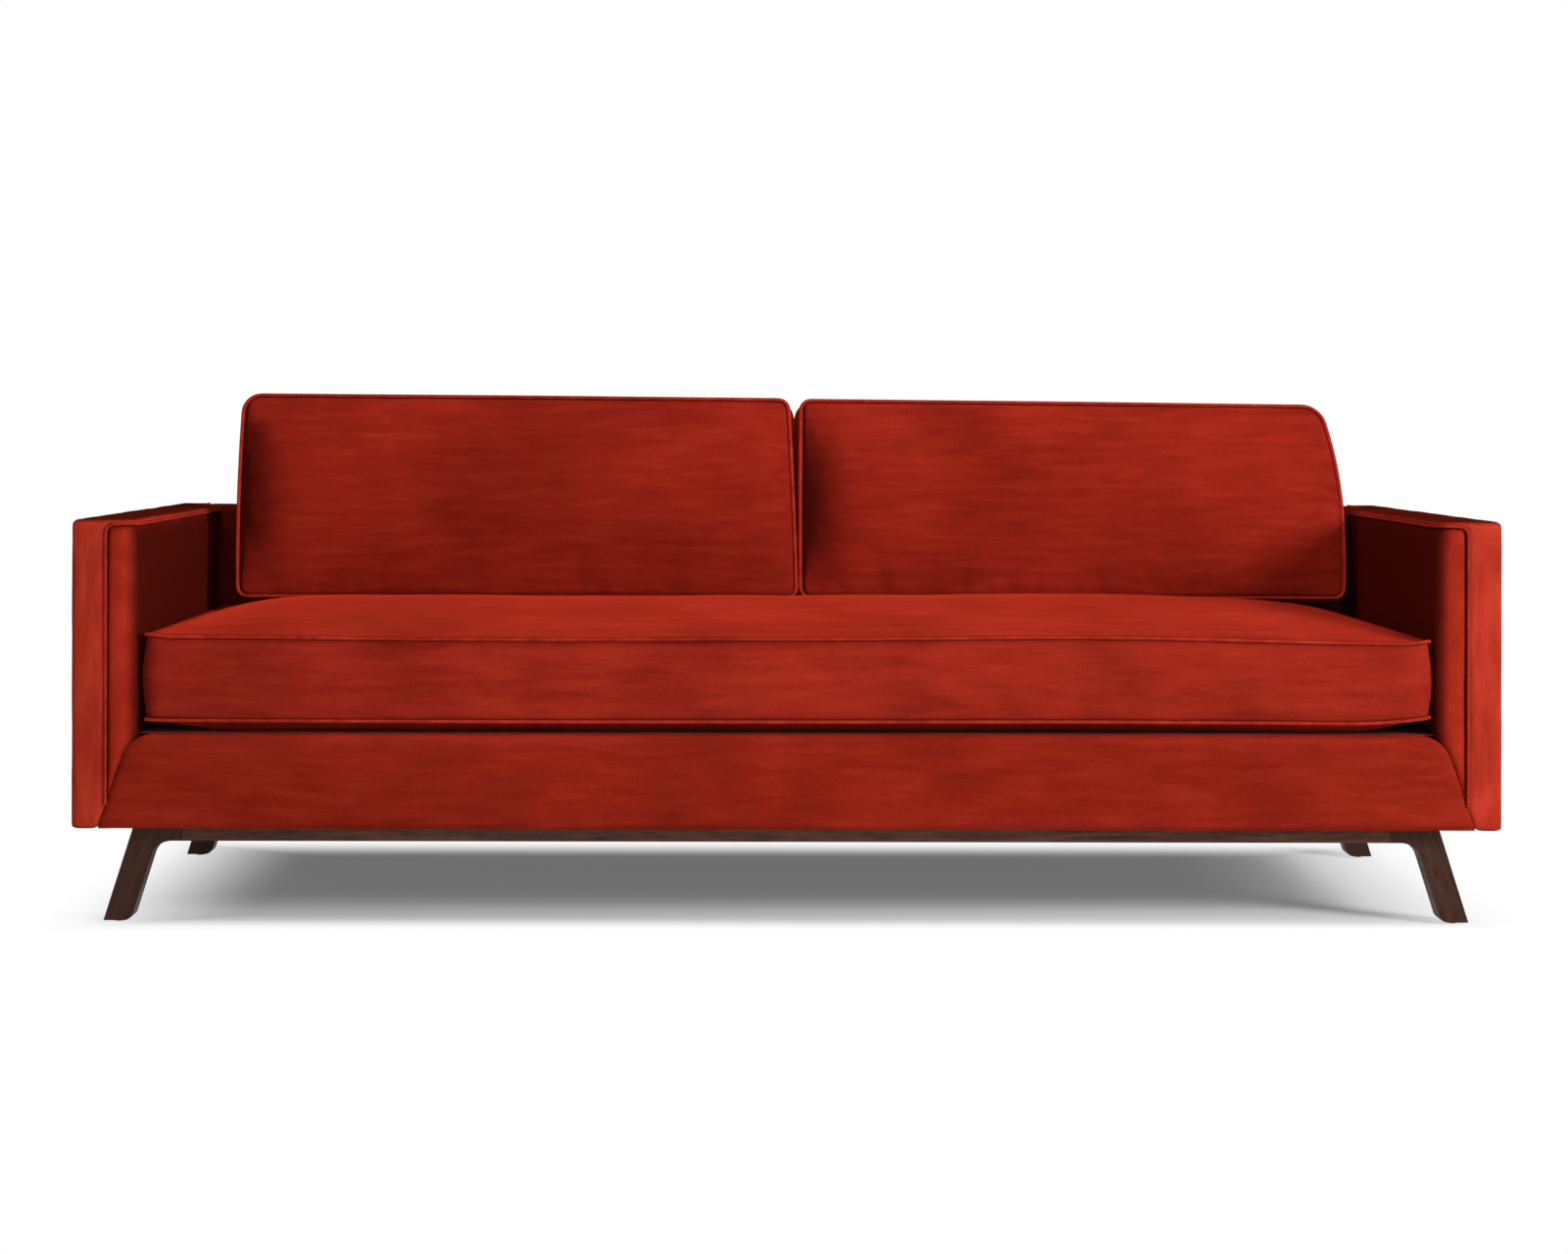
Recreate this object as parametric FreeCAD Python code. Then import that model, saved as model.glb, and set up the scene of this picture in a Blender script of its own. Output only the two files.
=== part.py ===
import FreeCAD, Part
import math
import os
from FreeCAD import Vector

# A three-seat tuxedo sofa: slab arms and back of one height on two splayed leg frames, a bench
# seat cushion on a sinuous-spring deck, and two loose back cushions that stand above the back.
# Millimetres. The origin is on the floor under the middle of the sofa. +X runs to the right of
# someone who looks at the front, +Y runs to the back and +Z is up.

# Overall body
body_width = 2235.0
body_depth = 915.0
body_bottom = 152.0
arm_height = 635.0
arm_thickness = 100.0

# Covers and paddings
front_padding = 24.0
side_padding = 8.0
top_padding = 8.0
rear_padding = 8.0
arm_band_width = 54.0
arm_edge_radius = 9.0
arm_top_radius = 7.0
arm_pad_front_radius = 25.0
cloth_fit = 0.3

# Front rail panel, seen from the front
front_panel_height = 148.0
front_panel_foot_setback = 40.5
front_panel_slant = 20.1
front_panel_shoulder = 50.0
front_panel_edge_radius = 14.0
front_foam_depth = 16.0
front_foam_margin = 14.0

# Wooden frame
rail_thickness = 27.0
rail_height = 117.0
post_width = 60.0
top_rail_height = 44.0
fibreboard = 4.0
rear_board = 3.0
upright_thickness = 25.0
cross_rail_height = 59.0
corner_block_leg = 70.0
corner_block_height = 50.0
cleat_width = 60.0
cleat_height = 27.0
cleat_end_gap = 47.5
dust_cover_thickness = 2.0

# Inside back
back_thickness = 207.5
back_lean = 12.5
back_pad_thickness = 32.0
webbing_thickness = 2.0
webbing_width = 60.0
webbing_rows = 5

# Springs and deck
spring_count = 16
spring_edge_gap = 102.5
spring_width = 48.0
spring_bars = 16
wire_size = 3.8
wire_fit = 0.15
clip_thickness = 1.2
clip_width = 20.0
clip_depth = 14.0
tie_rod_size = 3.0
insulator_thickness = 4.0
deck_cloth_thickness = 2.0

# Leg frames
leg_frame_front_setback = 40.0
leg_frame_rear_setback = 128.0
leg_frame_depth = 40.0
base_rail_height = 24.0
leg_head_length = 77.0
leg_side_setback = 90.5
leg_splay = 17.5
leg_width = 43.0
leg_knee_radius = 34.0
leg_toe_radius = 15.0
glide_height = 3.0
glide_diameter = 18.0
glide_sole_diameter = 14.0
glide_inset = 21.0
glide_nail_diameter = 2.4
glide_nail_length = 16.0
tenon_length = 40.0
tenon_width = 26.0
tenon_thickness = 8.0
screw_diameter = 6.0
screw_head_width = 10.0
screw_head_height = 4.0
screw_recess_diameter = 15.0
screw_recess = 6.0
screw_length = 40.0
outer_screw_setback = 150.0
hole_clearance = 0.3

# Seat cushion
seat_side_gap = 14.5
seat_shift = 4.0
seat_front_setback = 10.0
seat_boxing = 130.0
seat_crown = 35.0
seat_belly = 20.0
seat_bulge = 4.0
seat_end_bulge = 8.5
seat_crown_fullness = 14
cushion_fit = 0.4

# Back cushions
back_cushion_thickness = 162.0
left_cushion_height = 350.0
right_cushion_height = 342.0
back_front_lift = 7.6
back_crown = 22.0
back_rear_crown = 18.0
back_top_bulge = 5.0
back_bottom_bulge = 9.0
back_bottom_drop = 15.6
back_top_drop = 20.0
back_corner_radius = 24.0
back_crown_fullness = 8
left_cushion_arm_gap = 66.5
left_cushion_outer_taper = 2.0
left_cushion_outer_bulge = 5.0
left_cushion_inner_end = 26.0
left_cushion_inner_taper = 17.0
left_cushion_inner_bulge = 1.0
right_cushion_arm_gap = 33.5
right_cushion_outer_taper = 40.0
right_cushion_outer_bulge = 18.0
right_cushion_inner_end = 34.0
right_cushion_inner_taper = 2.0
right_cushion_inner_bulge = 1.0

# Cushion fillings
core_margin = 12.0
end_crown = 1.0
station_steps = 6
zip_width = 8.0
zip_thickness = 2.4
zip_end_gap = 90.0
zip_fit = 0.1
outline_reach = 60.0

# Values worked out from the sizes above
half_width = body_width / 2
half_depth = body_depth / 2
arm_inner = half_width - arm_thickness
band_inner = half_width - arm_band_width
frame_inner = band_inner + fibreboard
frame_outer = half_width - side_padding
frame_front = -half_depth + front_padding
frame_rear = half_depth - rear_padding
frame_bottom = body_bottom + dust_cover_thickness
frame_top = arm_height - top_padding
rail_top = frame_bottom + rail_height
front_panel_top = body_bottom + front_panel_height
deck_top = front_panel_top
wire_bottom = rail_top + clip_thickness + wire_fit
wire_top = wire_bottom + wire_size
clip_top = wire_top + wire_fit + clip_thickness
inside_back_front = half_depth - back_thickness
front_frame_middle = -half_depth + leg_frame_front_setback + leg_frame_depth / 2
rear_frame_middle = half_depth - leg_frame_rear_setback - leg_frame_depth / 2
rear_rail_rear = rear_frame_middle - leg_frame_depth / 2
rear_rail_front = rear_rail_rear - rail_thickness
seat_bottom = deck_top + cloth_fit + seat_belly
seat_top = seat_bottom + seat_boxing
seat_front = -half_depth + seat_front_setback
front_panel_foot = half_width - front_panel_foot_setback
spring_pitch = 2 * (arm_inner - spring_edge_gap) / (spring_count - 1)
cross_rail_place = 3 * spring_pitch
leg_top_outside = half_width - leg_side_setback
base_rail_end = leg_top_outside - leg_head_length
outer_screw_place = base_rail_end - outer_screw_setback

nodes = {}


def box(x0, x1, y0, y1, z0, z1):
    return Part.makeBox(x1 - x0, y1 - y0, z1 - z0, Vector(x0, y0, z0))


def mirrored(shape):
    return shape.mirror(Vector(0, 0, 0), Vector(1, 0, 0))


def both_sides(shape):
    return [mirrored(shape), shape]


def push_along_x(points, x0, x1):
    """A solid from a closed outline of (y, z) points."""
    corners = [Vector(x0, y, z) for y, z in points]
    wire = Part.makePolygon(corners + corners[:1])
    return Part.Face(wire).extrude(Vector(x1 - x0, 0, 0))


def push_along_y(points, y0, y1):
    """A solid from a closed outline of (x, z) points."""
    corners = [Vector(x, y0, z) for x, z in points]
    wire = Part.makePolygon(corners + corners[:1])
    return Part.Face(wire).extrude(Vector(0, y1 - y0, 0))


def rounded(solid, radius, chosen):
    """The solid with the edges rounded whose middle point is chosen."""
    edges = []
    for edge in solid.Edges:
        middle = edge.valueAt((edge.FirstParameter + edge.LastParameter) / 2)
        if chosen(middle):
            edges.append(edge)
    return solid.makeFillet(radius, edges)


def near(value, target):
    return abs(value - target) < 0.01


def lean_y(z, behind=0.0):
    """Y of the inside back's leaning face at a height, or of a plane behind that face."""
    slope = math.radians(back_lean)
    return inside_back_front + (z - deck_top) * math.tan(slope) + behind / math.cos(slope)


def leaning_slab(z0, z1, front, rear, x0, x1):
    """A slab between two planes parallel to the inside back's face."""
    outline = [
        (lean_y(z0, front), z0),
        (lean_y(z1, front), z1),
        (lean_y(z1, rear), z1),
        (lean_y(z0, rear), z0),
    ]
    return push_along_x(outline, x0, x1)


# Leg frames: a thin rail with a splayed leg tenoned to each end, screwed up into the seat frame


def leg_outside(z):
    """X of the leg's outer edge at a height."""
    return leg_top_outside + (body_bottom - z) * math.tan(math.radians(leg_splay))


def tenon(middle, clearance=0.0):
    """The loose tenon across the right joint of a leg frame, or its slot with a clearance."""
    joint = base_rail_end
    height = body_bottom - base_rail_height / 2
    half_length = tenon_length / 2 + clearance
    half_tenon = tenon_width / 2 + clearance
    half_tongue = tenon_thickness / 2 + clearance
    return box(
        joint - half_length,
        joint + half_length,
        middle - half_tenon,
        middle + half_tenon,
        height - half_tongue,
        height + half_tongue,
    )


def glide_x():
    return leg_outside(glide_height) - glide_inset


def nail_glide(middle):
    """A plastic disc with a bevelled rim, moulded round its nail."""
    centre = Vector(glide_x(), middle, 0)
    disc = Part.makeCone(glide_sole_diameter / 2, glide_diameter / 2, glide_height, centre)
    nail = Part.makeCylinder(
        glide_nail_diameter / 2, glide_nail_length, Vector(glide_x(), middle, glide_height / 2)
    )
    return disc.fuse(nail).removeSplitter()


def splayed_leg(middle):
    """The right leg with the knee that meets the base rail."""
    joint = base_rail_end
    rail_bottom = body_bottom - base_rail_height
    outline = [
        (joint, body_bottom),
        (leg_outside(body_bottom), body_bottom),
        (leg_outside(glide_height), glide_height),
        (leg_outside(glide_height) - leg_width, glide_height),
        (leg_outside(rail_bottom) - leg_width, rail_bottom),
        (joint, rail_bottom),
    ]
    leg = push_along_y(outline, middle - leg_frame_depth / 2, middle + leg_frame_depth / 2)
    knee = leg_outside(rail_bottom) - leg_width
    leg = rounded(leg, leg_knee_radius, lambda p: near(p.x, knee) and near(p.z, rail_bottom))
    toe = leg_outside(glide_height) - leg_width
    leg = rounded(leg, leg_toe_radius, lambda p: near(p.x, toe) and near(p.z, glide_height))
    nail_hole = Part.makeCylinder(
        (glide_nail_diameter + hole_clearance) / 2,
        glide_nail_length,
        Vector(glide_x(), middle, glide_height),
    )
    return leg.cut(nail_hole).cut(tenon(middle, hole_clearance))


def screw_positions(middle):
    return [(x, middle) for x in (-outer_screw_place, 0.0, outer_screw_place)]


def screw_hole(x, y, diameter, z0, z1):
    return Part.makeCylinder(diameter / 2, z1 - z0, Vector(x, y, z0))


def base_rail(middle):
    rail = box(
        -base_rail_end,
        base_rail_end,
        middle - leg_frame_depth / 2,
        middle + leg_frame_depth / 2,
        body_bottom - base_rail_height,
        body_bottom,
    )
    for slot in both_sides(tenon(middle, hole_clearance)):
        rail = rail.cut(slot)
    bottom = body_bottom - base_rail_height
    for x, y in screw_positions(middle):
        rail = rail.cut(screw_hole(x, y, screw_diameter + hole_clearance, bottom, body_bottom))
        rail = rail.cut(screw_hole(x, y, screw_recess_diameter, bottom, bottom + screw_recess))
    return rail


def leg_screw(x, y):
    """A hexagon-headed screw, seated in its recess under the base rail."""
    head_bottom = body_bottom - base_rail_height + screw_recess - screw_head_height
    corners = []
    for turn in range(7):
        angle = math.radians(60 * turn)
        reach = screw_head_width / math.sqrt(3)
        corners.append(Vector(x + reach * math.cos(angle), y + reach * math.sin(angle), head_bottom))
    head = Part.Face(Part.makePolygon(corners)).extrude(Vector(0, 0, screw_head_height))
    shank_bottom = head_bottom + screw_head_height
    shank = Part.makeCylinder(screw_diameter / 2, screw_length, Vector(x, y, shank_bottom))
    return head.fuse(shank)


def leg_cleat(y0, y1, middle):
    """The board inside the seat frame that takes the screws of one leg frame."""
    reach = frame_inner - cleat_end_gap
    cleat = box(-reach, reach, y0, y1, frame_bottom, frame_bottom + cleat_height)
    for x, y in screw_positions(middle):
        hole = screw_hole(x, y, screw_diameter + hole_clearance, frame_bottom, frame_bottom + cleat_height)
        cleat = cleat.cut(hole)
    return cleat


def make_leg_frames():
    tenons = []
    glides = []
    screws = []
    for name, middle in (("front", front_frame_middle), ("rear", rear_frame_middle)):
        nodes[name + "_base_rail"] = base_rail(middle)
        nodes[name + "_right_leg"] = splayed_leg(middle)
        nodes[name + "_left_leg"] = mirrored(splayed_leg(middle))
        glides += both_sides(nail_glide(middle))
        tenons += both_sides(tenon(middle))
        screws += [leg_screw(x, y) for x, y in screw_positions(middle)]
    nodes["leg_tenons"] = Part.Compound(tenons)
    nodes["nail_glides"] = Part.Compound(glides)
    nodes["leg_frame_screws"] = Part.Compound(screws)


# Seat frame: rails, cross rails, glued corner blocks and the dust cover under them


def corner_block(y, towards):
    outline = [
        (frame_inner, y),
        (frame_inner - corner_block_leg, y),
        (frame_inner, y + towards * corner_block_leg),
    ]
    bottom = frame_bottom + cleat_height
    corners = [Vector(px, py, bottom) for px, py in outline]
    face = Part.Face(Part.makePolygon(corners + corners[:1]))
    return face.extrude(Vector(0, 0, corner_block_height))


def make_seat_frame():
    front_rail_rear = frame_front + rail_thickness
    nodes["front_seat_rail"] = box(
        -frame_inner, frame_inner, frame_front, front_rail_rear, frame_bottom, rail_top
    )
    nodes["rear_seat_rail"] = box(
        -frame_inner, frame_inner, rear_rail_front, rear_rail_rear, frame_bottom, rail_top
    )
    nodes["front_leg_cleat"] = leg_cleat(
        front_rail_rear, front_rail_rear + cleat_width, front_frame_middle
    )
    nodes["rear_leg_cleat"] = leg_cleat(
        rear_rail_rear, rear_rail_rear + cleat_width, rear_frame_middle
    )
    cross_bottom = frame_bottom + cleat_height
    cross = box(
        cross_rail_place - rail_thickness / 2,
        cross_rail_place + rail_thickness / 2,
        front_rail_rear,
        rear_rail_front,
        cross_bottom,
        cross_bottom + cross_rail_height,
    )
    nodes["cross_rails"] = Part.Compound(both_sides(cross))
    blocks = both_sides(corner_block(front_rail_rear, 1)) + both_sides(corner_block(rear_rail_front, -1))
    nodes["corner_blocks"] = Part.Compound(blocks)
    cover = box(-frame_outer, frame_outer, frame_front, frame_rear, body_bottom, frame_bottom)
    half_slit = screw_diameter / 2 + hole_clearance
    for middle in (front_frame_middle, rear_frame_middle):
        for x, y in screw_positions(middle):
            slit = box(x - half_slit, x + half_slit, y - half_slit, y + half_slit, body_bottom, frame_bottom)
            cover = cover.cut(slit)
    nodes["dust_cover"] = cover


# Front rail panel: a padded cover with slanted ends that laps over the feet of both arms


def front_panel_block():
    """The panel's outline, from its slanted ends to its rounded shoulders, pushed back."""
    shoulder = front_panel_foot - front_panel_height * math.tan(math.radians(front_panel_slant))
    outline = [
        (-front_panel_foot, body_bottom),
        (-shoulder, front_panel_top),
        (shoulder, front_panel_top),
        (front_panel_foot, body_bottom),
    ]
    block = push_along_y(outline, -half_depth, frame_front)
    return rounded(
        block,
        front_panel_shoulder,
        lambda p: near(abs(p.x), shoulder) and near(p.z, front_panel_top) and not near(p.y, -half_depth),
    )


def make_front_panel():
    panel = front_panel_block()
    panel = rounded(
        panel,
        front_panel_edge_radius,
        lambda p: near(p.y, -half_depth) and not near(p.z, body_bottom),
    )
    foam = box(
        -arm_inner + front_foam_margin,
        arm_inner - front_foam_margin,
        frame_front - front_foam_depth,
        frame_front,
        body_bottom + front_foam_margin,
        front_panel_top - front_foam_margin,
    )
    nodes["front_rail_cover"] = panel.cut(foam)
    nodes["front_rail_foam"] = foam


# Arms: a board frame, a fibreboard panel and a foam pad inside, and a cover over the outside


def arm_block():
    """The right arm as one upholstered block, with its edges rounded."""
    outside = box(band_inner, half_width, -half_depth, half_depth, body_bottom, arm_height)
    inside = push_along_x(
        [
            (-half_depth, body_bottom),
            (-half_depth, arm_height),
            (lean_y(arm_height), arm_height),
            (lean_y(deck_top), deck_top),
            (lean_y(deck_top), body_bottom),
        ],
        arm_inner,
        band_inner,
    )
    block = outside.fuse(inside).removeSplitter()
    block = rounded(
        block,
        arm_pad_front_radius,
        lambda p: near(p.x, arm_inner) and near(p.y, -half_depth) and body_bottom < p.z < arm_height,
    )
    block = rounded(
        block,
        arm_edge_radius,
        lambda p: near(p.x, half_width) and near(abs(p.y), half_depth) and p.z < arm_height - 1,
    )
    inner_end = lean_y(arm_height)
    return rounded(
        block,
        arm_top_radius,
        lambda p: near(p.z, arm_height) and not (p.x < band_inner + 1 and p.y > inner_end - 1),
    )


def make_arm():
    """Nodes of the right arm, and their mirror images on the left."""
    block = arm_block()
    panel = front_panel_block()
    pad_top = frame_top
    pad_space = box(arm_inner - 1, band_inner, -half_depth - 1, half_depth, rail_top, pad_top)
    pad_foot = box(arm_inner - 1, band_inner, -half_depth - 1, frame_front, body_bottom, rail_top)
    inner_half = box(arm_inner - 1, band_inner, -half_depth - 1, half_depth, body_bottom - 1, pad_top)
    hollow = box(band_inner, frame_outer, frame_front, frame_rear, body_bottom - 1, frame_top)
    post_top = frame_top - top_rail_height
    front_post_rear = frame_front + post_width
    rear_post_front = frame_rear - post_width
    pieces = {
        "arm_cover": block.cut(inner_half).cut(hollow).cut(panel),
        "arm_pad": block.common(pad_space.fuse(pad_foot)).cut(panel),
        "arm_inner_board": box(
            band_inner, frame_inner, frame_front, rear_rail_front, rail_top, frame_top
        ),
        "arm_front_post": box(
            frame_inner, frame_outer, frame_front, front_post_rear, frame_bottom, post_top
        ),
        "arm_rear_post": box(
            frame_inner, frame_outer, rear_post_front, frame_rear, frame_bottom, post_top
        ),
        "arm_top_rail": box(
            frame_inner, frame_outer, frame_front, frame_rear, post_top, frame_top
        ),
        "side_seat_rail": box(
            frame_inner, frame_outer, front_post_rear, rear_post_front, frame_bottom, rail_top
        ),
    }
    for name, piece in pieces.items():
        nodes["right_" + name] = piece
        nodes["left_" + name] = mirrored(piece)


# Back: uprights on the seat frame, a top rail, webbing, a leaning pad and the outside cover


def make_back():
    pad_rear = back_pad_thickness
    wood_front = back_pad_thickness + webbing_thickness
    wood_rear = frame_rear - rear_board
    top_rail_bottom = frame_top - top_rail_height

    def board_profile(z0, z1):
        low = lean_y(z0, wood_front)
        high = lean_y(z1, wood_front)
        return [(low, z0), (high, z1), (wood_rear, z1), (wood_rear, z0)]

    top_profile = board_profile(top_rail_bottom, frame_top)
    nodes["back_top_rail"] = push_along_x(top_profile, -frame_inner, frame_inner)
    nodes["back_bottom_rail"] = box(
        -frame_inner, frame_inner, wood_rear - rail_thickness, wood_rear, frame_bottom, rail_top
    )
    upright_starts = [side * 4 * spring_pitch - upright_thickness / 2 for side in (-1, 0, 1)]
    upright_starts += [-frame_inner, frame_inner - upright_thickness]
    profile = board_profile(rail_top, top_rail_bottom)
    uprights = [push_along_x(profile, start, start + upright_thickness) for start in upright_starts]
    nodes["back_uprights"] = Part.Compound(uprights)

    row_pitch = (top_rail_bottom - deck_top) / webbing_rows
    strips = []
    for row in range(webbing_rows):
        middle = deck_top + (row + 0.5) * row_pitch
        bottom = middle - webbing_width / 2
        top = middle + webbing_width / 2
        strips.append(leaning_slab(bottom, top, pad_rear, wood_front, -frame_inner, frame_inner))
    nodes["back_webbing"] = Part.Compound(strips)

    pad = leaning_slab(deck_top, arm_height, 0.0, pad_rear, -band_inner, band_inner)
    nodes["inside_back_pad"] = rounded(
        pad,
        arm_top_radius,
        lambda p: near(p.z, arm_height) and near(p.y, lean_y(arm_height)),
    )
    nodes["outside_back_board"] = box(
        -band_inner, band_inner, wood_rear, frame_rear, frame_bottom, frame_top
    )
    rear_panel = box(-band_inner, band_inner, frame_rear, half_depth, body_bottom, arm_height)
    top_band = push_along_x(
        [
            (lean_y(frame_top, pad_rear), frame_top),
            (lean_y(arm_height, pad_rear), arm_height),
            (half_depth, arm_height),
            (half_depth, frame_top),
        ],
        -band_inner,
        band_inner,
    )
    cover = rear_panel.fuse(top_band).removeSplitter()
    nodes["outside_back_cover"] = rounded(
        cover,
        arm_top_radius,
        lambda p: near(p.z, arm_height) and near(p.y, half_depth),
    )


# Spring deck: sinuous springs clipped to the seat rails, tie rods, felt, foam and deck cloth


def spring_outline(x, front, rear):
    """Both edges of a wire that snakes from the front bar to the rear bar, as (x, y) points."""
    pitch = (rear - front) / (spring_bars - 1)
    reach = spring_width / 2 - wire_size / 2
    path = []
    for bar in range(spring_bars):
        side = 1 if bar % 2 else -1
        path.append((x + side * reach, front + bar * pitch))
        path.append((x - side * reach, front + bar * pitch))
    left = []
    right = []
    for index, (px, py) in enumerate(path):
        before = path[max(index - 1, 0)]
        after = path[min(index + 1, len(path) - 1)]
        step_in = (px - before[0], py - before[1])
        step_out = (after[0] - px, after[1] - py)
        shift_x = 0.0
        shift_y = 0.0
        for dx, dy in (step_in, step_out):
            if abs(dx) > 0.01:
                shift_y += math.copysign(wire_size / 2, dx)
            if abs(dy) > 0.01:
                shift_x -= math.copysign(wire_size / 2, dy)
        left.append((px + shift_x, py + shift_y))
        right.append((px - shift_x, py - shift_y))
    return left + right[::-1]


def sinuous_spring(x, front, rear):
    corners = [Vector(px, py, wire_bottom) for px, py in spring_outline(x, front, rear)]
    face = Part.Face(Part.makePolygon(corners + corners[:1]))
    return face.extrude(Vector(0, 0, wire_size))


def spring_clip(x, bar_y, outward):
    """A bent strap on the rail's top that holds a spring's end bar."""
    back = bar_y + outward * (wire_size / 2 + wire_fit + clip_thickness)
    inside = back - outward * clip_thickness
    tip = back - outward * clip_depth
    outline = [
        (back, rail_top),
        (back, clip_top),
        (tip, clip_top),
        (tip, clip_top - clip_thickness),
        (inside, clip_top - clip_thickness),
        (inside, rail_top + clip_thickness),
        (tip, rail_top + clip_thickness),
        (tip, rail_top),
    ]
    return push_along_x(outline, x - clip_width / 2, x + clip_width / 2)


def make_deck():
    front_bar = frame_front + rail_thickness / 2
    rear_bar = rear_rail_front + rail_thickness / 3
    spring_places = [(index - (spring_count - 1) / 2) * spring_pitch for index in range(spring_count)]
    nodes["sinuous_springs"] = Part.Compound([sinuous_spring(x, front_bar, rear_bar) for x in spring_places])
    clips = [spring_clip(x, front_bar, -1) for x in spring_places]
    clips += [spring_clip(x, rear_bar, 1) for x in spring_places]
    nodes["spring_clips"] = Part.Compound(clips)
    bar_pitch = (rear_bar - front_bar) / (spring_bars - 1)
    rod_reach = spring_places[-1] + spring_width / 2
    rods = []
    for bar in (spring_bars // 3, 2 * spring_bars // 3):
        y = front_bar + bar * bar_pitch
        top = wire_bottom - wire_fit
        rods.append(
            box(-rod_reach, rod_reach, y - tie_rod_size / 2, y + tie_rod_size / 2, top - tie_rod_size, top)
        )
    nodes["spring_tie_rods"] = Part.Compound(rods)
    deck_rear = lean_y(rail_top, back_pad_thickness + webbing_thickness) - cloth_fit
    pad_bottom = clip_top + insulator_thickness
    pad_top = deck_top - deck_cloth_thickness
    layers = (
        ("insulator_felt", clip_top, pad_bottom),
        ("deck_pad", pad_bottom, pad_top),
        ("deck_cloth", pad_top, deck_top),
    )
    for name, bottom, top in layers:
        nodes[name] = box(-arm_inner, arm_inner, frame_front, deck_rear, bottom, top)


# Cushions: boxed covers whose large faces are crowned and die away to drawn-in ends


def bulged(start, end, bulge, x):
    """An arc in a section from start to end, both (y, z), that swells to the left of the way."""
    dy = end[0] - start[0]
    dz = end[1] - start[1]
    length = math.hypot(dy, dz)
    middle_y = (start[0] + end[0]) / 2 - dz / length * bulge
    middle_z = (start[1] + end[1]) / 2 + dy / length * bulge
    points = [Vector(x, start[0], start[1]), Vector(x, middle_y, middle_z), Vector(x, end[0], end[1])]
    return Part.Arc(*points).toShape()


def section(corners, bulges, x):
    """A closed section from the front bottom corner round by the front top corner."""
    edges = []
    for index, bulge in enumerate(bulges):
        edges.append(bulged(corners[index], corners[(index + 1) % 4], bulge, x))
    return Part.Wire(edges)


def crown_share(place, fullness):
    """Share of the full crown at a place from 0 in the middle to 1 at an end."""
    return 1 - abs(place) ** fullness


def crowned_body(x0, x1, corners, bulges, crowned, fullness):
    """A loft along X whose crowned sides fade towards both ends."""
    wires = []
    for step in range(-station_steps, station_steps + 1):
        share = 1 - (1 - abs(step) / station_steps) ** 3
        place = math.copysign(share, step)
        x = (x0 + x1) / 2 + place * (x1 - x0) / 2
        full = crown_share(place, fullness)
        local = []
        for side, bulge in enumerate(bulges):
            if side in crowned:
                local.append(end_crown + (bulge - end_crown) * full)
            else:
                local.append(bulge)
        wires.append(section(corners, local, x))
    return Part.makeLoft(wires, True, True)


def end_arc(x_bottom, z_bottom, x_top, z_top, bulge, y):
    middle = Vector((x_bottom + x_top) / 2 + bulge, y, (z_bottom + z_top) / 2)
    return Part.Arc(Vector(x_bottom, y, z_bottom), middle, Vector(x_top, y, z_top)).toShape()


def end_outline(ends, z_bottom, z_top, low, high, swells, y0, y1):
    """The cushion's outline from the front: swelled ends, open past the top and the bottom."""
    left_bottom, left_top, right_top, right_bottom = ends
    left = end_arc(left_bottom, z_bottom, left_top, z_top, -swells[0], y0)
    right = end_arc(right_bottom, z_bottom, right_top, z_top, swells[1], y0)
    corners = [
        Vector(left_top, y0, z_top),
        Vector(left_top, y0, high),
        Vector(right_top, y0, high),
        Vector(right_top, y0, z_top),
    ]
    feet = [
        Vector(right_bottom, y0, z_bottom),
        Vector(right_bottom, y0, low),
        Vector(left_bottom, y0, low),
        Vector(left_bottom, y0, z_bottom),
    ]
    edges = [left, right]
    for points in (corners, feet):
        for start, end in zip(points, points[1:]):
            if start.distanceToPoint(end) > 0.01:
                edges.append(Part.LineSegment(start, end).toShape())
    wire = Part.Wire(Part.__sortEdges__(edges))
    return Part.Face(wire).extrude(Vector(0, y1 - y0, 0))


def seat_rear():
    return lean_y(seat_bottom) - cushion_fit


def seat_top_at(y):
    """Height of the seat cushion's crown over the middle of its width."""
    half = (seat_rear() - seat_front) / 2
    middle = (seat_rear() + seat_front) / 2
    radius = (half**2 + seat_crown**2) / (2 * seat_crown)
    return seat_top + seat_crown - radius + math.sqrt(radius**2 - (y - middle) ** 2)


def closed_zip(start, end, bulge, x0, x1, spare=0.0):
    """A closed zip let into the crest of a boxing between two places along X."""
    dy = end[0] - start[0]
    dz = end[1] - start[1]
    length = math.hypot(dy, dz)
    along = (dy / length, dz / length)
    outward = (-dz / length, dy / length)
    half = zip_width / 2 + spare
    inner = bulge - zip_thickness - spare
    outer = bulge + 10 * spare
    outline = []
    for step, reach in ((-half, inner), (half, inner), (half, outer), (-half, outer)):
        y = (start[0] + end[0]) / 2 + along[0] * step + outward[0] * reach
        z = (start[1] + end[1]) / 2 + along[1] * step + outward[1] * reach
        outline.append((y, z))
    return push_along_x(outline, x0 - spare, x1 + spare)


def cushion_core(x0, x1, y0, y1, z0, z1):
    return box(x0 + core_margin, x1 - core_margin, y0 + core_margin, y1 - core_margin, z0, z1)


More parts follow.
